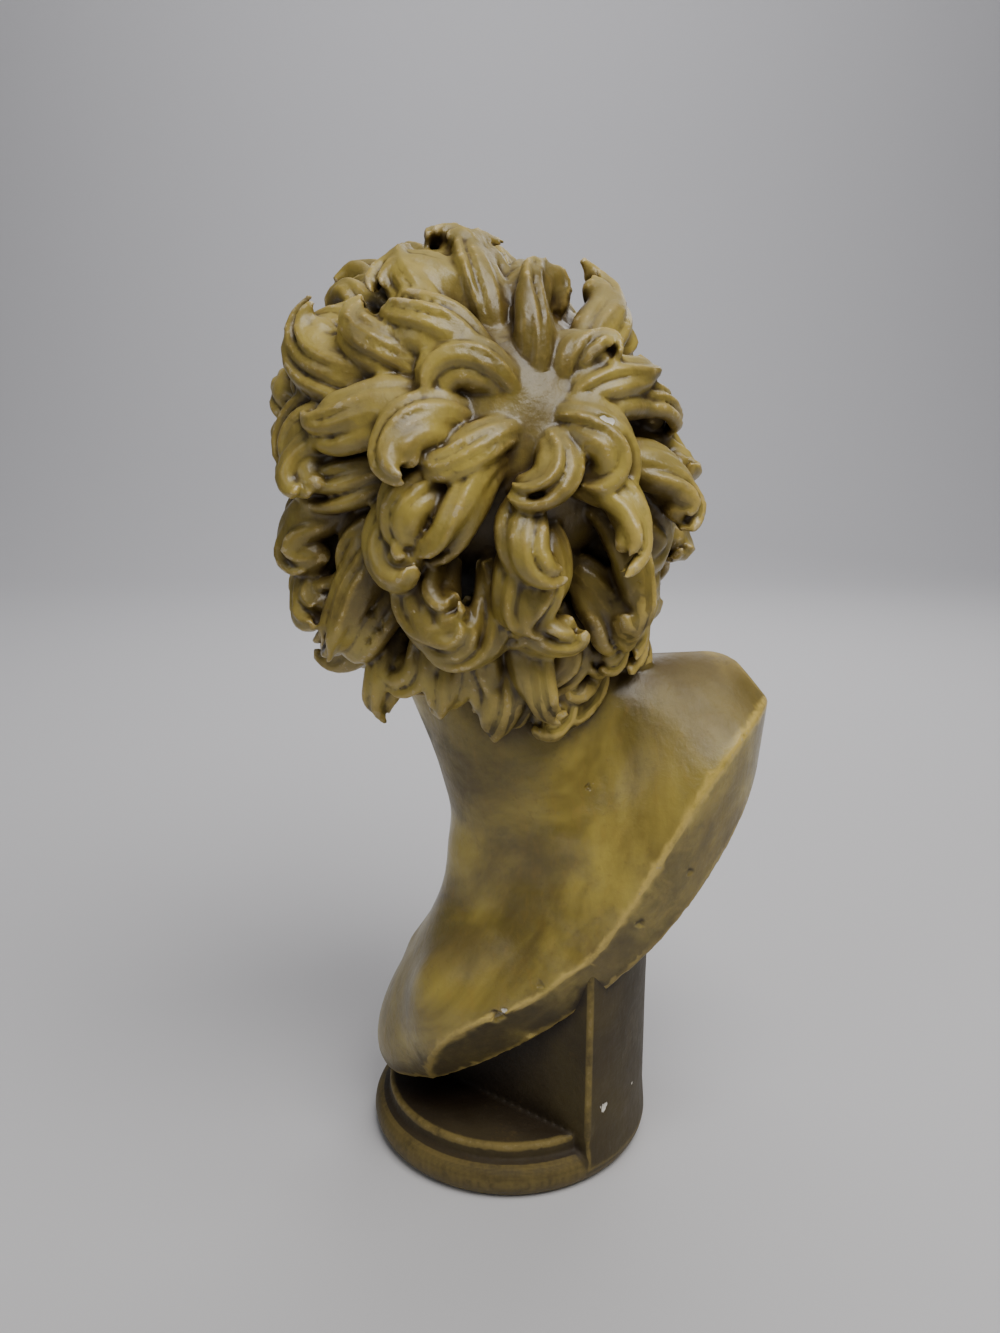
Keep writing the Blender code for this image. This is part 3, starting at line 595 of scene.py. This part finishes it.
def cut_bowl():
    """The space that is kept of the shoulders: a bowl whose wall makes the cut face under the back."""
    sides = 128
    angles = np.linspace(0.0, 2.0 * math.pi, sides, endpoint=False)
    right, front = np.cos(angles), np.sin(angles)
    deep = np.where(front > 0.0, 0.36, 0.30)
    level = -0.385 + np.where(right > 0.0, 0.16, 0.095) * np.abs(right) ** 2.2
    level = level - 0.09 * np.maximum(front, 0.0) ** 1.5
    low = np.stack((-0.196 + 0.728 * right, deep * front, level), -1)
    spread = np.where(right > 0.0, 1.0, 0.62) * right
    wall = np.stack((spread, np.where(front > 0.0, 0.50, 0.42) * front, np.full(sides, 1.0)), -1)
    high = low + wall * 0.5
    top = high + np.stack((right * 0.2, front * 0.6, np.full(sides, 2.4)), -1)
    floor = np.array([[-0.196, 0.02, -0.36]])
    roof = np.array([[-0.196, 0.0, 2.9]])
    points = from_torso(np.concatenate((low, high, top, floor, roof)))
    faces = []
    for corner in range(sides):
        after = (corner + 1) % sides
        for level_index in range(2):
            first, second = level_index * sides, (level_index + 1) * sides
            faces.append((first + corner, first + after, second + after, second + corner))
        faces.append((3 * sides, after, corner))
        faces.append((3 * sides + 1, 2 * sides + corner, 2 * sides + after))
    return facing_out(mesh_object("cut_bowl", points, faces))


def figure():
    """Head, locks, neck and shoulders as one skin."""
    draw = np.random.RandomState(SEED)
    bowl = cut_bowl()
    places, faces = surface_of(lambda points: torso_distance(from_torso(points)), TORSO_BOX, TORSO_GRID)
    shoulders = facing_out(mesh_object("shoulders", from_torso(places), faces))
    modified(shoulders, "BOOLEAN", operation="INTERSECT", solver="EXACT", object=bowl)
    bpy.data.objects.remove(bowl)
    places, faces = surface_of(head_distance, FACE_BOX, FACE_GRID)
    parts = [shoulders, mesh_object("head", from_head(places), faces)]
    for name, tubes in (("hair", hair(draw)), ("beard", beard(draw)), ("moustache", moustache_tubes())):
        points, faces = strand_tubes(*tubes)
        parts.append(mesh_object(name, from_head(points), faces))
    return one_skin(joined("figure", parts), FIGURE_VOXEL, FIGURE_EASING, FIGURE_TRIANGLES)


# The socle


def risen(name, outline):
    """A round blank turned up from its underside: each step of the outline is extruded and widened."""
    radius, height = outline[0]
    bpy.ops.object.select_all(action="DESELECT")
    place = (0.0, 0.0, height)
    bpy.ops.mesh.primitive_circle_add(vertices=SOCLE_SIDES, radius=radius, fill_type="NGON", location=place)
    made = bpy.context.active_object
    made.name = name
    bpy.ops.object.mode_set(mode="EDIT")
    bpy.ops.mesh.select_all(action="SELECT")
    for next_radius, next_height in outline[1:]:
        bpy.ops.mesh.extrude_region_move(TRANSFORM_OT_translate={"value": (0.0, 0.0, next_height - height)})
        bpy.ops.transform.resize(value=(next_radius / radius, next_radius / radius, 1.0))
        radius, height = next_radius, next_height
    bpy.ops.mesh.select_all(action="SELECT")
    bpy.ops.mesh.normals_make_consistent(inside=False)
    bpy.ops.object.mode_set(mode="OBJECT")
    only(made)
    bpy.ops.object.transform_apply(location=True, rotation=True, scale=True)
    return made


def sliced(made, point, normal):
    """Cuts off what lies beyond a plane and closes the cut."""
    only(made)
    bpy.ops.object.mode_set(mode="EDIT")
    bpy.ops.mesh.select_all(action="SELECT")
    bpy.ops.mesh.bisect(plane_co=point, plane_no=normal, use_fill=True, clear_outer=True)
    bpy.ops.object.mode_set(mode="OBJECT")
    return made


def moulded_foot():
    outline = [(FOOT_RADIUS, 0.0)]
    bulge, half = TORUS_RADIUS - FOOT_RADIUS, TORUS_HEIGHT / 2.0
    for step in range(1, 14):
        angle = math.pi * step / 14.0 - math.pi / 2.0
        outline.append((FOOT_RADIUS + bulge * math.cos(angle), half + half * math.sin(angle)))
    outline += [(FOOT_RADIUS - 0.0006, TORUS_HEIGHT), (RING_RADIUS - 0.0010, TORUS_HEIGHT + 0.0008)]
    outline += [(RING_RADIUS, TORUS_HEIGHT + 0.0022), (RING_RADIUS, SOCLE_HEIGHT - 0.0016)]
    outline += [(RING_RADIUS - 0.0010, SOCLE_HEIGHT - 0.0003), (RING_RADIUS - 0.0028, SOCLE_HEIGHT)]
    return risen("foot", outline)


def recess_plane(offset):
    """A point and the normal of the plane that cuts an upright back beside the recess."""
    recess = Vector((-math.sin(RECESS_TURN), math.cos(RECESS_TURN), 0.0))
    return recess * offset, recess


def upright_top(sunk):
    """A point and the normal of the plane that an upright ends at, inside the shoulders."""
    return NECK_ROOT - TORSO_AXES.col[2] * sunk, TORSO_AXES.col[2]


def column():
    above = SOCLE_HEIGHT + 0.0100
    steps = (
        (0.0110, SOCLE_HEIGHT - 0.0060),
        (0.0110, SOCLE_HEIGHT + 0.0030),
        (0.0082, SOCLE_HEIGHT + 0.0042),
        (0.0052, SOCLE_HEIGHT + 0.0064),
        (0.0030, above),
        (0.0012, above + 0.0070),
        (0.0000, above + 0.0450),
        (0.0020, above + 0.0850),
        (0.0040, above + 0.2200),
    )
    made = risen("column", [(WAIST_RADIUS + wider, height) for wider, height in steps])
    sliced(made, *upright_top(COLUMN_SUNK))
    return sliced(made, *recess_plane(RECESS_OFFSET - 0.0040))


def pier():
    bulge = TORUS_RADIUS - FOOT_RADIUS
    outline = [
        (FOOT_RADIUS + 0.3 * bulge, 0.06 * TORUS_HEIGHT),
        (FOOT_RADIUS + 0.7 * bulge, 0.2 * TORUS_HEIGHT),
        (TORUS_RADIUS + 0.0003, 0.5 * TORUS_HEIGHT),
        (PIER_RADIUS, SOCLE_HEIGHT),
        (PIER_RADIUS, 0.25),
    ]
    made = risen("pier", outline)
    sliced(made, *upright_top(PIER_SUNK))
    sliced(made, *recess_plane(RECESS_OFFSET))
    sliced(made, (0.0, -PIER_FRONT, 0.0), (0.0, -1.0, 0.0))
    return sliced(made, (PIER_LEFT, 0.0, 0.0), (1.0, 0.0, 0.0))


def socle():
    made = joined("socle", [moulded_foot(), column(), pier()])
    return one_skin(made, SOCLE_VOXEL, SOCLE_EASING, SOCLE_TRIANGLES)


# What the patina and the painted shade follow: hollows, ridges, and how open each place is


def neighbour_mean(mesh, values, rounds):
    """Values at a mesh's points after so many rounds of taking the mean of each point's neighbours."""
    ends = np.zeros(2 * len(mesh.edges), np.int64)
    mesh.edges.foreach_get("vertices", ends)
    one, other = ends[0::2], ends[1::2]
    count = np.maximum(np.bincount(ends, minlength=len(mesh.vertices)), 1)
    for _ in range(rounds):
        total = np.stack(
            [
                np.bincount(one, row[other], len(values)) + np.bincount(other, row[one], len(values))
                for row in values.T
            ],
            -1,
        )
        values = 0.5 * values + 0.5 * total / count[:, None]
    return values


def points_and_normals(mesh):
    points = np.zeros(3 * len(mesh.vertices))
    normals = np.zeros(3 * len(mesh.vertices))
    mesh.vertices.foreach_get("co", points)
    mesh.vertex_normals.foreach_get("vector", normals)
    return points.reshape(-1, 3), normals.reshape(-1, 3)


def hollows_of(mesh):
    """Each point's place, and how hollow it is within 2 mm and within 10 mm, negative on ridges."""
    points, normals = points_and_normals(mesh)
    near, far = neighbour_mean(mesh, points, FINE_ROUNDS), neighbour_mean(mesh, points, BROAD_ROUNDS)
    fine = np.sum((near - points) * normals, axis=1) / FINE_DEPTH
    broad = np.sum((far - points) * normals, axis=1) / BROAD_DEPTH
    return points, fine, broad


def keep(mesh, name, values):
    attribute = mesh.attributes.new(name, "FLOAT", "POINT")
    attribute.data.foreach_set("value", np.asarray(values, np.float32))


OPEN_RAYS = 18
OPEN_REACH = 0.045
RAY_START = 0.0008
FINE_ROUNDS = 6
BROAD_ROUNDS = 60
FINE_DEPTH = 0.0004
BROAD_DEPTH = 0.0025
HAIR_REACH = 0.150
HAIR_FADE = 0.020
# The most painted shade that a downward-facing surface of the body gets
UNDERSIDE_SHADE = 0.80


def openness(points, normals, tree):
    """The share of rays from each point that leave it without meeting the cast again nearby."""
    turn = math.pi * (3.0 - math.sqrt(5.0))
    steps = np.arange(OPEN_RAYS) + 0.5
    rise, spread = np.sqrt(1.0 - steps / OPEN_RAYS), np.sqrt(steps / OPEN_RAYS)
    round_rays = np.stack((np.cos(turn * steps), np.sin(turn * steps)), -1) * spread[:, None]
    side = unit(np.cross(normals, np.where(np.abs(normals[:, 2:]) < 0.9, (0.0, 0.0, 1.0), (1.0, 0.0, 0.0))))
    other = np.cross(normals, side)
    free = np.zeros(len(points))
    starts = points + normals * RAY_START
    for ray in range(OPEN_RAYS):
        ways = side * round_rays[ray, 0] + other * round_rays[ray, 1] + normals * rise[ray]
        for index, (start, way) in enumerate(zip(starts.tolist(), ways.tolist())):
            if tree.ray_cast(start, way, OPEN_REACH)[0] is None:
                free[index] += 1.0
    return free / OPEN_RAYS


def aged_and_shaded(parts, skins, dark_and_shaded):
    """Gives each part the values that its patina and its painted shade follow. Painted shade darkens the
    body where it faces down, and the part given last is darker all over: a dirtier patina, and painted
    shade under the shoulders.
    """
    places, faces = [], []
    for part in parts:
        shift = len(places)
        places.extend([vertex.co[:] for vertex in part.data.vertices])
        faces.extend([tuple(corner + shift for corner in face.vertices) for face in part.data.polygons])
    tree = BVHTree.FromPolygons(places, faces)
    for part, (skin_points, fine, broad) in zip(parts, skins):
        near = KDTree(len(skin_points))
        for index, point in enumerate(skin_points.tolist()):
            near.insert(point, index)
        near.balance()
        points, normals = points_and_normals(part.data)
        nearest = np.array([near.find(point)[1] for point in points.tolist()])
        free = neighbour_mean(part.data, openness(points, normals, tree)[:, None], 2)[:, 0]
        keep(part.data, "fine_hollow", fine[nearest])
        keep(part.data, "broad_hollow", broad[nearest])
        facing_up = neighbour_mean(part.data, normals, 3)[:, 2]
        from_head_origin = np.linalg.norm(points - np.array(HEAD_ORIGIN), axis=1)
        body = np.clip((from_head_origin - HAIR_REACH) / HAIR_FADE, 0.0, 1.0)
        # Painted shade: surfaces of the body that face down are darkened
        shade_and_socle_dark = body * np.clip((0.05 - facing_up) / 0.55, 0.0, UNDERSIDE_SHADE)
        # The socle is darker all over, for a dirtier patina and for painted shade under the shoulders
        if part == dark_and_shaded:
            shade_and_socle_dark = np.ones(len(points))
        keep(part.data, "open", free)
        keep(part.data, "facing_up", facing_up)
        keep(part.data, "body", body)
        keep(part.data, "shade_and_socle_dark", shade_and_socle_dark)


# Marks of age, each at a pixel of the photograph's frame


# Pixel column and row, radius, depth, and how far the paint is off
MARKS = (
    (604, 1107, 0.0034, 0.0010, 1.00),
    (632, 1083, 0.0012, 0.0003, 0.90),
    (608, 422, 0.0048, 0.0020, 0.85),
    (497, 1017, 0.0046, 0.0040, 0.35),
    (504, 1011, 0.0024, 0.0014, 0.50),
    (640, 924, 0.0030, 0.0012, 0.20),
    (540, 985, 0.0026, 0.0012, 0.25),
    (690, 872, 0.0026, 0.0010, 0.20),
    (575, 950, 0.0085, 0.0009, 0.10),
    (588, 787, 0.0022, 0.0015, 0.00),
    (372, 612, 0.0034, 0.0024, 0.00),
    (380, 628, 0.0030, 0.0022, 0.00),
    (368, 640, 0.0026, 0.0018, 0.10),
    (662, 588, 0.0026, 0.0020, 0.00),
    (670, 560, 0.0022, 0.0018, 0.05),
    (664, 608, 0.0020, 0.0016, 0.05),
)


def sight(column, row):
    """The way from the camera through a pixel of the photograph."""
    across = (column - PHOTO_WIDTH / 2.0) / FOCAL_PIXELS
    up = (PHOTO_HEIGHT / 2.0 - row) / FOCAL_PIXELS
    ahead = Vector((0.0, -math.cos(CAMERA_PITCH), -math.sin(CAMERA_PITCH)))
    above = Vector((0.0, -math.sin(CAMERA_PITCH), math.cos(CAMERA_PITCH)))
    return (ahead + Vector((-across, 0.0, 0.0)) + above * up).normalized()


def marked(parts):
    """Breaks small chips and pits out of the skin, with the bare plaster that they show."""
    draw = np.random.RandomState(SEED)
    trees = [BVHTree.FromObject(part, bpy.context.evaluated_depsgraph_get()) for part in parts]
    found = {part: [] for part in parts}
    for column, row, radius, depth, bare in MARKS:
        hits = [tree.ray_cast(CAMERA_PLACE, sight(column, row)) for tree in trees]
        met = [(hit[3], index) for index, hit in enumerate(hits) if hit[0] is not None]
        if met:
            nearest = min(met)[1]
            place, out = np.array(hits[nearest][0]), np.array(hits[nearest][1])
            found[parts[nearest]].append((place, out, radius, depth, bare))
    for part, marks in found.items():
        divided_near(part, [(place, 1.5 * radius) for place, _, radius, _, _ in marks])
        points, _ = points_and_normals(part.data)
        bare_plaster = np.zeros(len(points))
        for place, out, radius, depth, bare in marks:
            offset = points - place
            turn = 3.0 * np.arctan2(offset[:, 0], offset[:, 2]) + draw.uniform(0.0, 6.0)
            reach = radius * (1.0 + 0.22 * np.sin(turn))
            share = np.clip(1.35 - 1.35 * np.linalg.norm(offset, axis=1) / reach, 0.0, 1.0)
            points = points - out * (depth * share**0.7)[:, None] * (share > 0.0)[:, None]
            bare_plaster = np.maximum(bare_plaster, bare * np.clip(share * 2.5, 0.0, 1.0))
        part.data.vertices.foreach_set("co", points.ravel())
        keep(part.data, "bare", bare_plaster)
        part.data.update()


def divided_near(made, places):
    """Splits the faces round each place until a small mark has enough of them."""
    for _ in range(6):
        count = len(made.data.polygons)
        centres, areas, near = np.zeros(3 * count), np.zeros(count), np.zeros(count, bool)
        made.data.polygons.foreach_get("center", centres)
        made.data.polygons.foreach_get("area", areas)
        for place, radius in places:
            away = np.linalg.norm(centres.reshape(-1, 3) - place, axis=1)
            near |= (away < radius + 1.2 * np.sqrt(areas)) & (areas > (0.20 * radius) ** 2)
        split_once(made, "FACE", near)


# The patina


class Sum:
    """A value in a material, so that sums on it are written as they are said."""

    def __init__(self, tree, socket):
        self.tree = tree
        self.socket = socket

    def maths(self, operation, *others, clamp=False):
        node = self.tree.nodes.new("ShaderNodeMath")
        node.operation = operation
        node.use_clamp = clamp
        for place, value in enumerate((self, *others)):
            if isinstance(value, Sum):
                self.tree.links.new(value.socket, node.inputs[place])
            else:
                node.inputs[place].default_value = value
        return Sum(self.tree, node.outputs[0])

    def __add__(self, other):
        return self.maths("ADD", other)

    __radd__ = __add__

    def __mul__(self, other):
        return self.maths("MULTIPLY", other)

    __rmul__ = __mul__

    def __sub__(self, other):
        return self.maths("SUBTRACT", other)

    def __rsub__(self, other):
        return (self * -1.0).maths("ADD", other)

    def __truediv__(self, other):
        return self.maths("DIVIDE", other)

    def within(self):
        """Held between nought and one."""
        return self.maths("ADD", 0.0, clamp=True)

    def rising(self, low, high):
        """Nought below low, one above high, and smooth between."""
        share = ((self - low) / (high - low)).within()
        return share * share * (3.0 - 2.0 * share)


class Recipe:
    """A material's node tree with one way to add a node."""

    def __init__(self, name):
        self.material = bpy.data.materials.new(name)
        self.material.use_nodes = True
        self.tree = self.material.node_tree
        self.shader = self.tree.nodes["Principled BSDF"]

    def node(self, kind, settings=None, values=None, output=0):
        made = self.tree.nodes.new(kind)
        for name, value in (settings or {}).items():
            setattr(made, name, value)
        for name, value in (values or {}).items():
            self.feed(made.inputs[name], value)
        return Sum(self.tree, made.outputs[output])

    def feed(self, socket, value):
        if isinstance(value, Sum):
            self.tree.links.new(value.socket, socket)
        elif isinstance(value, tuple) and len(value) == 3 and socket.type == "RGBA":
            socket.default_value = (*value, 1.0)
        else:
            socket.default_value = value

    def kept(self, name):
        return self.node("ShaderNodeAttribute", {"attribute_name": name}, output=2)

    def noise(self, place, scale, detail=3.0, roughness=0.55, distortion=0.0):
        values = {"Vector": place, "Scale": scale, "Detail": detail}
        values.update({"Roughness": roughness, "Distortion": distortion})
        return self.node("ShaderNodeTexNoise", None, values)

    def mixed(self, share, first, second):
        settings = {"data_type": "RGBA", "blend_type": "MIX", "clamp_factor": True}
        return self.node("ShaderNodeMix", settings, {0: share, 6: first, 7: second}, output=2)

    def stretched(self, place, scale):
        return self.node("ShaderNodeMapping", {"vector_type": "POINT"}, {"Vector": place, "Scale": scale})


OLIVE = (0.180, 0.134, 0.025)
PALE_OLIVE = (0.460, 0.352, 0.072)
GREY_GREEN = (0.235, 0.205, 0.095)
OCHRE = (0.400, 0.235, 0.040)
GOLD = (0.540, 0.385, 0.100)
RIM_GOLD = (0.620, 0.455, 0.115)
UMBER = (0.018, 0.010, 0.004)
RUSSET = (0.090, 0.055, 0.014)
DUST = (0.400, 0.330, 0.150)
# Dark brown of the socle's dirtier patina and of painted shade on undersides
SHADE_AND_SOCLE_BROWN = (0.032, 0.021, 0.008)
DARK_BROWN = (0.042, 0.023, 0.006)
CREAM = (0.620, 0.520, 0.300)
BARE_PLASTER = (0.780, 0.750, 0.660)


def waxed_plaster():
    """Olive bronze paint under wax: dark in the hollows, partly patina and partly painted shade, dusty
    where it faces up, ochre on worn ridges, with painted shade on undersides and the socle, a painted
    shadow under the bust and a painted highlight along the rim.
    """
    mix = Recipe("waxed_plaster")
    place = mix.node("ShaderNodeTexCoord", output=3)
    fine, broad, free = mix.kept("fine_hollow"), mix.kept("broad_hollow"), mix.kept("open")
    facing_up, bare = mix.kept("facing_up"), mix.kept("bare")
    body, shade_and_socle_dark = mix.kept("body"), mix.kept("shade_and_socle_dark")
    clouds = mix.noise(place, 9.0, 4.0, 0.58, 0.7)
    mottle = mix.noise(place, 42.0, 5.0, 0.62, 0.4)
    specks = mix.noise(place, 260.0, 3.0, 0.60)
    streaks = mix.noise(mix.stretched(place, (60.0, 60.0, 14.0)), 3.0, 4.0, 0.60, 0.8)
    shade = mix.noise(place, 8.0, 5.0, 0.62, 1.2).rising(0.42, 0.70)
    # Russet where the body faces up
    browner_facing_up = body * (facing_up + (clouds - 0.5) * 0.5).rising(0.35, 0.90)
    dust = (facing_up.rising(0.30, 0.98) * free.rising(0.55, 0.95) * (0.35 + mottle)).within()
    # Russet and umber where the rays are blocked: the patina gathered in hollows, and painted shade there
    # too
    deep = ((0.95 - free) * 1.7 + (mottle - 0.5) * 0.4).rising(0.05, 0.95)
    deeper_patina_and_shade = ((0.52 - free) * 1.9 + fine * 0.20 + (mottle - 0.5) * 0.35).rising(0.05, 0.90)
    grooves = (fine * 0.80 + broad * 0.45 - 0.10 + (mottle - 0.5) * 0.2).rising(0.0, 1.05)
    # Painted shade: dark brown over the socle, whose patina is also dirtier, and on the body's surfaces
    # that face down
    socle_grime_and_underside_shade = (shade_and_socle_dark + (mottle - 0.5) * 0.8 + (clouds - 0.5) * 0.6).rising(0.10, 0.95)
    # Painted shadow: umber where the socle and the undersides lie hidden under the bust
    painted_shadow = shade_and_socle_dark * (0.95 - free).rising(0.0, 0.45)
    rubbed = (mottle - 0.5) * 1.3 + (specks - 0.5) * 0.6
    worn = (fine * -0.45 - broad * 0.16 - 0.20 + rubbed).rising(-0.05, 0.75)
    patchy = (mottle * 1.4 + specks * 0.6 - 0.40).rising(0.10, 0.75)
    # Paler gold on the body's sharp ridges, most along the rim: rubbed paint, and a painted highlight along
    # the edge
    edge = (fine * -1.8 - 0.12).rising(0.0, 0.55) * patchy * body
    flaked = (fine * -0.75 - 0.75 + (specks - 0.5) * 2.4 + (mottle - 0.5) * 2.2).rising(0.05, 0.30)
    dirt = (specks * 0.6 + mottle * 0.5).rising(0.58, 0.80)
    broken = (bare + (specks - 0.5) * 0.35).rising(0.30, 0.55)
    ground = mix.mixed(clouds.rising(0.34, 0.62), OLIVE, PALE_OLIVE)
    for share, colour in (
        (mottle.rising(0.42, 0.85) * 0.40, GREY_GREEN),
        (streaks.rising(0.45, 0.95) * 0.40, OCHRE),
        (shade * 0.60, RUSSET),
        (browner_facing_up * 0.74, RUSSET),
        (dust * (0.34 - body * 0.22), DUST),
        (deep * 0.86, RUSSET),
        (deeper_patina_and_shade * 0.92, UMBER),
        (grooves * 0.84, DARK_BROWN),
        (socle_grime_and_underside_shade * 0.90, SHADE_AND_SOCLE_BROWN),
        (painted_shadow * 0.88, UMBER),
        (worn * (0.80 - shade_and_socle_dark * 0.70), GOLD),
        (edge * (0.95 - shade_and_socle_dark * 0.70), RIM_GOLD),
        (flaked * (0.60 - shade_and_socle_dark * 0.50), CREAM),
        (dirt * 0.35, RUSSET),
        (broken, BARE_PLASTER),
    ):
        ground = mix.mixed(share, ground, colour)
    mix.feed(mix.shader.inputs["Base Color"], ground)
    rough = 0.36 + (mottle - 0.5) * 0.30 + deeper_patina_and_shade * 0.30 + dust * 0.30 + (specks - 0.5) * 0.12
    rough = rough + broken * 0.50 + socle_grime_and_underside_shade * 0.22
    mix.feed(mix.shader.inputs["Roughness"], rough.within())
    mix.shader.inputs["IOR"].default_value = 1.45
    mix.shader.inputs["Coat Roughness"].default_value = 0.20
    wax = free * 0.33 - dust * 0.60 - broken - socle_grime_and_underside_shade * 0.36 + (mottle - 0.5) * 0.4
    mix.feed(mix.shader.inputs["Coat Weight"], wax.within())
    grain = mix.noise(place, 700.0, 2.0, 0.60)
    dents = mix.noise(place, 95.0, 3.0, 0.55, 0.3)
    relief = grain * 0.00005 + specks * 0.00016 + dents * 0.00055 + mottle * 0.00060 + streaks * 0.00025
    bump = mix.node("ShaderNodeBump", None, {"Strength": 1.0, "Distance": 1.0, "Height": relief})
    mix.feed(mix.shader.inputs["Normal"], bump)
    return mix.material


def plain(name, colour, roughness):
    mix = Recipe(name)
    mix.feed(mix.shader.inputs["Base Color"], colour)
    mix.shader.inputs["Roughness"].default_value = roughness
    return mix.material


# Studio

SWEEP_START = 2.2
SWEEP_RADIUS = 1.4
SWEEP_STEPS = 24
FLOOR_FRONT = 7.0
FLOOR_HALF_WIDTH = 9.0
WALL_HEIGHT = 7.0
FLOOR_GREY = (0.66, 0.655, 0.675)
SKY_GREY = (0.86, 0.86, 0.90, 1.0)
SKY_STRENGTH = 0.11

# Name, place, what it points at, width, power and colour
LAMPS = (
    ("ceiling", (-0.50, 0.80, 1.95), (0.0, 0.0, 0.30), 1.30, 35.0, (1.0, 0.98, 0.95)),
    ("window", (1.60, 1.30, 1.50), (0.0, 0.0, 0.40), 1.00, 4.0, (0.94, 0.97, 1.0)),
    ("front", (-0.6, -1.7, 1.50), (0.0, 0.0, 0.40), 1.20, 9.0, (1.0, 0.98, 0.95)),
    ("backdrop", (0.0, -1.2, 2.60), (0.0, -3.4, 1.00), 2.00, 46.0, (0.98, 0.98, 1.0)),
)


def camera():
    lens = bpy.data.cameras.new("camera")
    lens.sensor_width = SENSOR
    lens.sensor_fit = "HORIZONTAL"
    lens.lens = SENSOR * FOCAL_PIXELS / PHOTO_WIDTH
    lens.clip_start = 0.01
    made = bpy.data.objects.new("camera", lens)
    made.location = CAMERA_PLACE
    made.rotation_euler = (math.radians(90.0) - CAMERA_PITCH, 0.0, math.radians(180.0))
    bpy.context.scene.collection.objects.link(made)
    bpy.context.scene.camera = made


def soft_light(name, place, aim, size, power, colour):
    lamp = bpy.data.lights.new(name, "AREA")
    lamp.shape = "SQUARE"
    lamp.size = size
    lamp.energy = power
    lamp.color = colour
    made = bpy.data.objects.new(name, lamp)
    made.location = place
    made.rotation_euler = (Vector(aim) - Vector(place)).to_track_quat("-Z", "Y").to_euler()
    bpy.context.scene.collection.objects.link(made)


def studio():
    """A pale floor that sweeps up behind the bust, and soft light from above and from both sides."""
    turns = np.linspace(0.0, math.pi / 2.0, SWEEP_STEPS)
    wall = -SWEEP_START - SWEEP_RADIUS
    depths = np.concatenate(([FLOOR_FRONT], -SWEEP_START - SWEEP_RADIUS * np.sin(turns), [wall]))
    heights = np.concatenate(([0.0], SWEEP_RADIUS * (1.0 - np.cos(turns)), [WALL_HEIGHT]))
    rows = []
    for across in (-FLOOR_HALF_WIDTH, FLOOR_HALF_WIDTH):
        rows.extend((across, depth, height) for depth, height in zip(depths, heights))
    count = len(depths)
    faces = [(place, place + 1, count + place + 1, count + place) for place in range(count - 1)]
    floor = mesh_object("floor", rows, faces)
    floor.data.materials.append(plain("pale_floor", FLOOR_GREY, 0.85))
    only(floor)
    bpy.ops.object.shade_smooth()
    world = bpy.data.worlds.new("studio")
    world.use_nodes = True
    world.node_tree.nodes["Background"].inputs["Color"].default_value = SKY_GREY
    world.node_tree.nodes["Background"].inputs["Strength"].default_value = SKY_STRENGTH
    bpy.context.scene.world = world
    for lamp in LAMPS:
        soft_light(*lamp)


def cast(name, made, material):
    """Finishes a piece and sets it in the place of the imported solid."""
    made.name = name
    made.data.materials.clear()
    made.data.materials.append(material)
    only(made)
    bpy.ops.object.shade_smooth()
    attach(made, "root")
    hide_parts(NODE)


camera()
studio()
bust_skin, bust_hollows = figure()
socle_skin, socle_hollows = socle()
marked([bust_skin, socle_skin])
aged_and_shaded([bust_skin, socle_skin], [bust_hollows, socle_hollows], socle_skin)
finish = waxed_plaster()
cast("bust_cast", bust_skin, finish)
cast("socle_cast", socle_skin, finish)
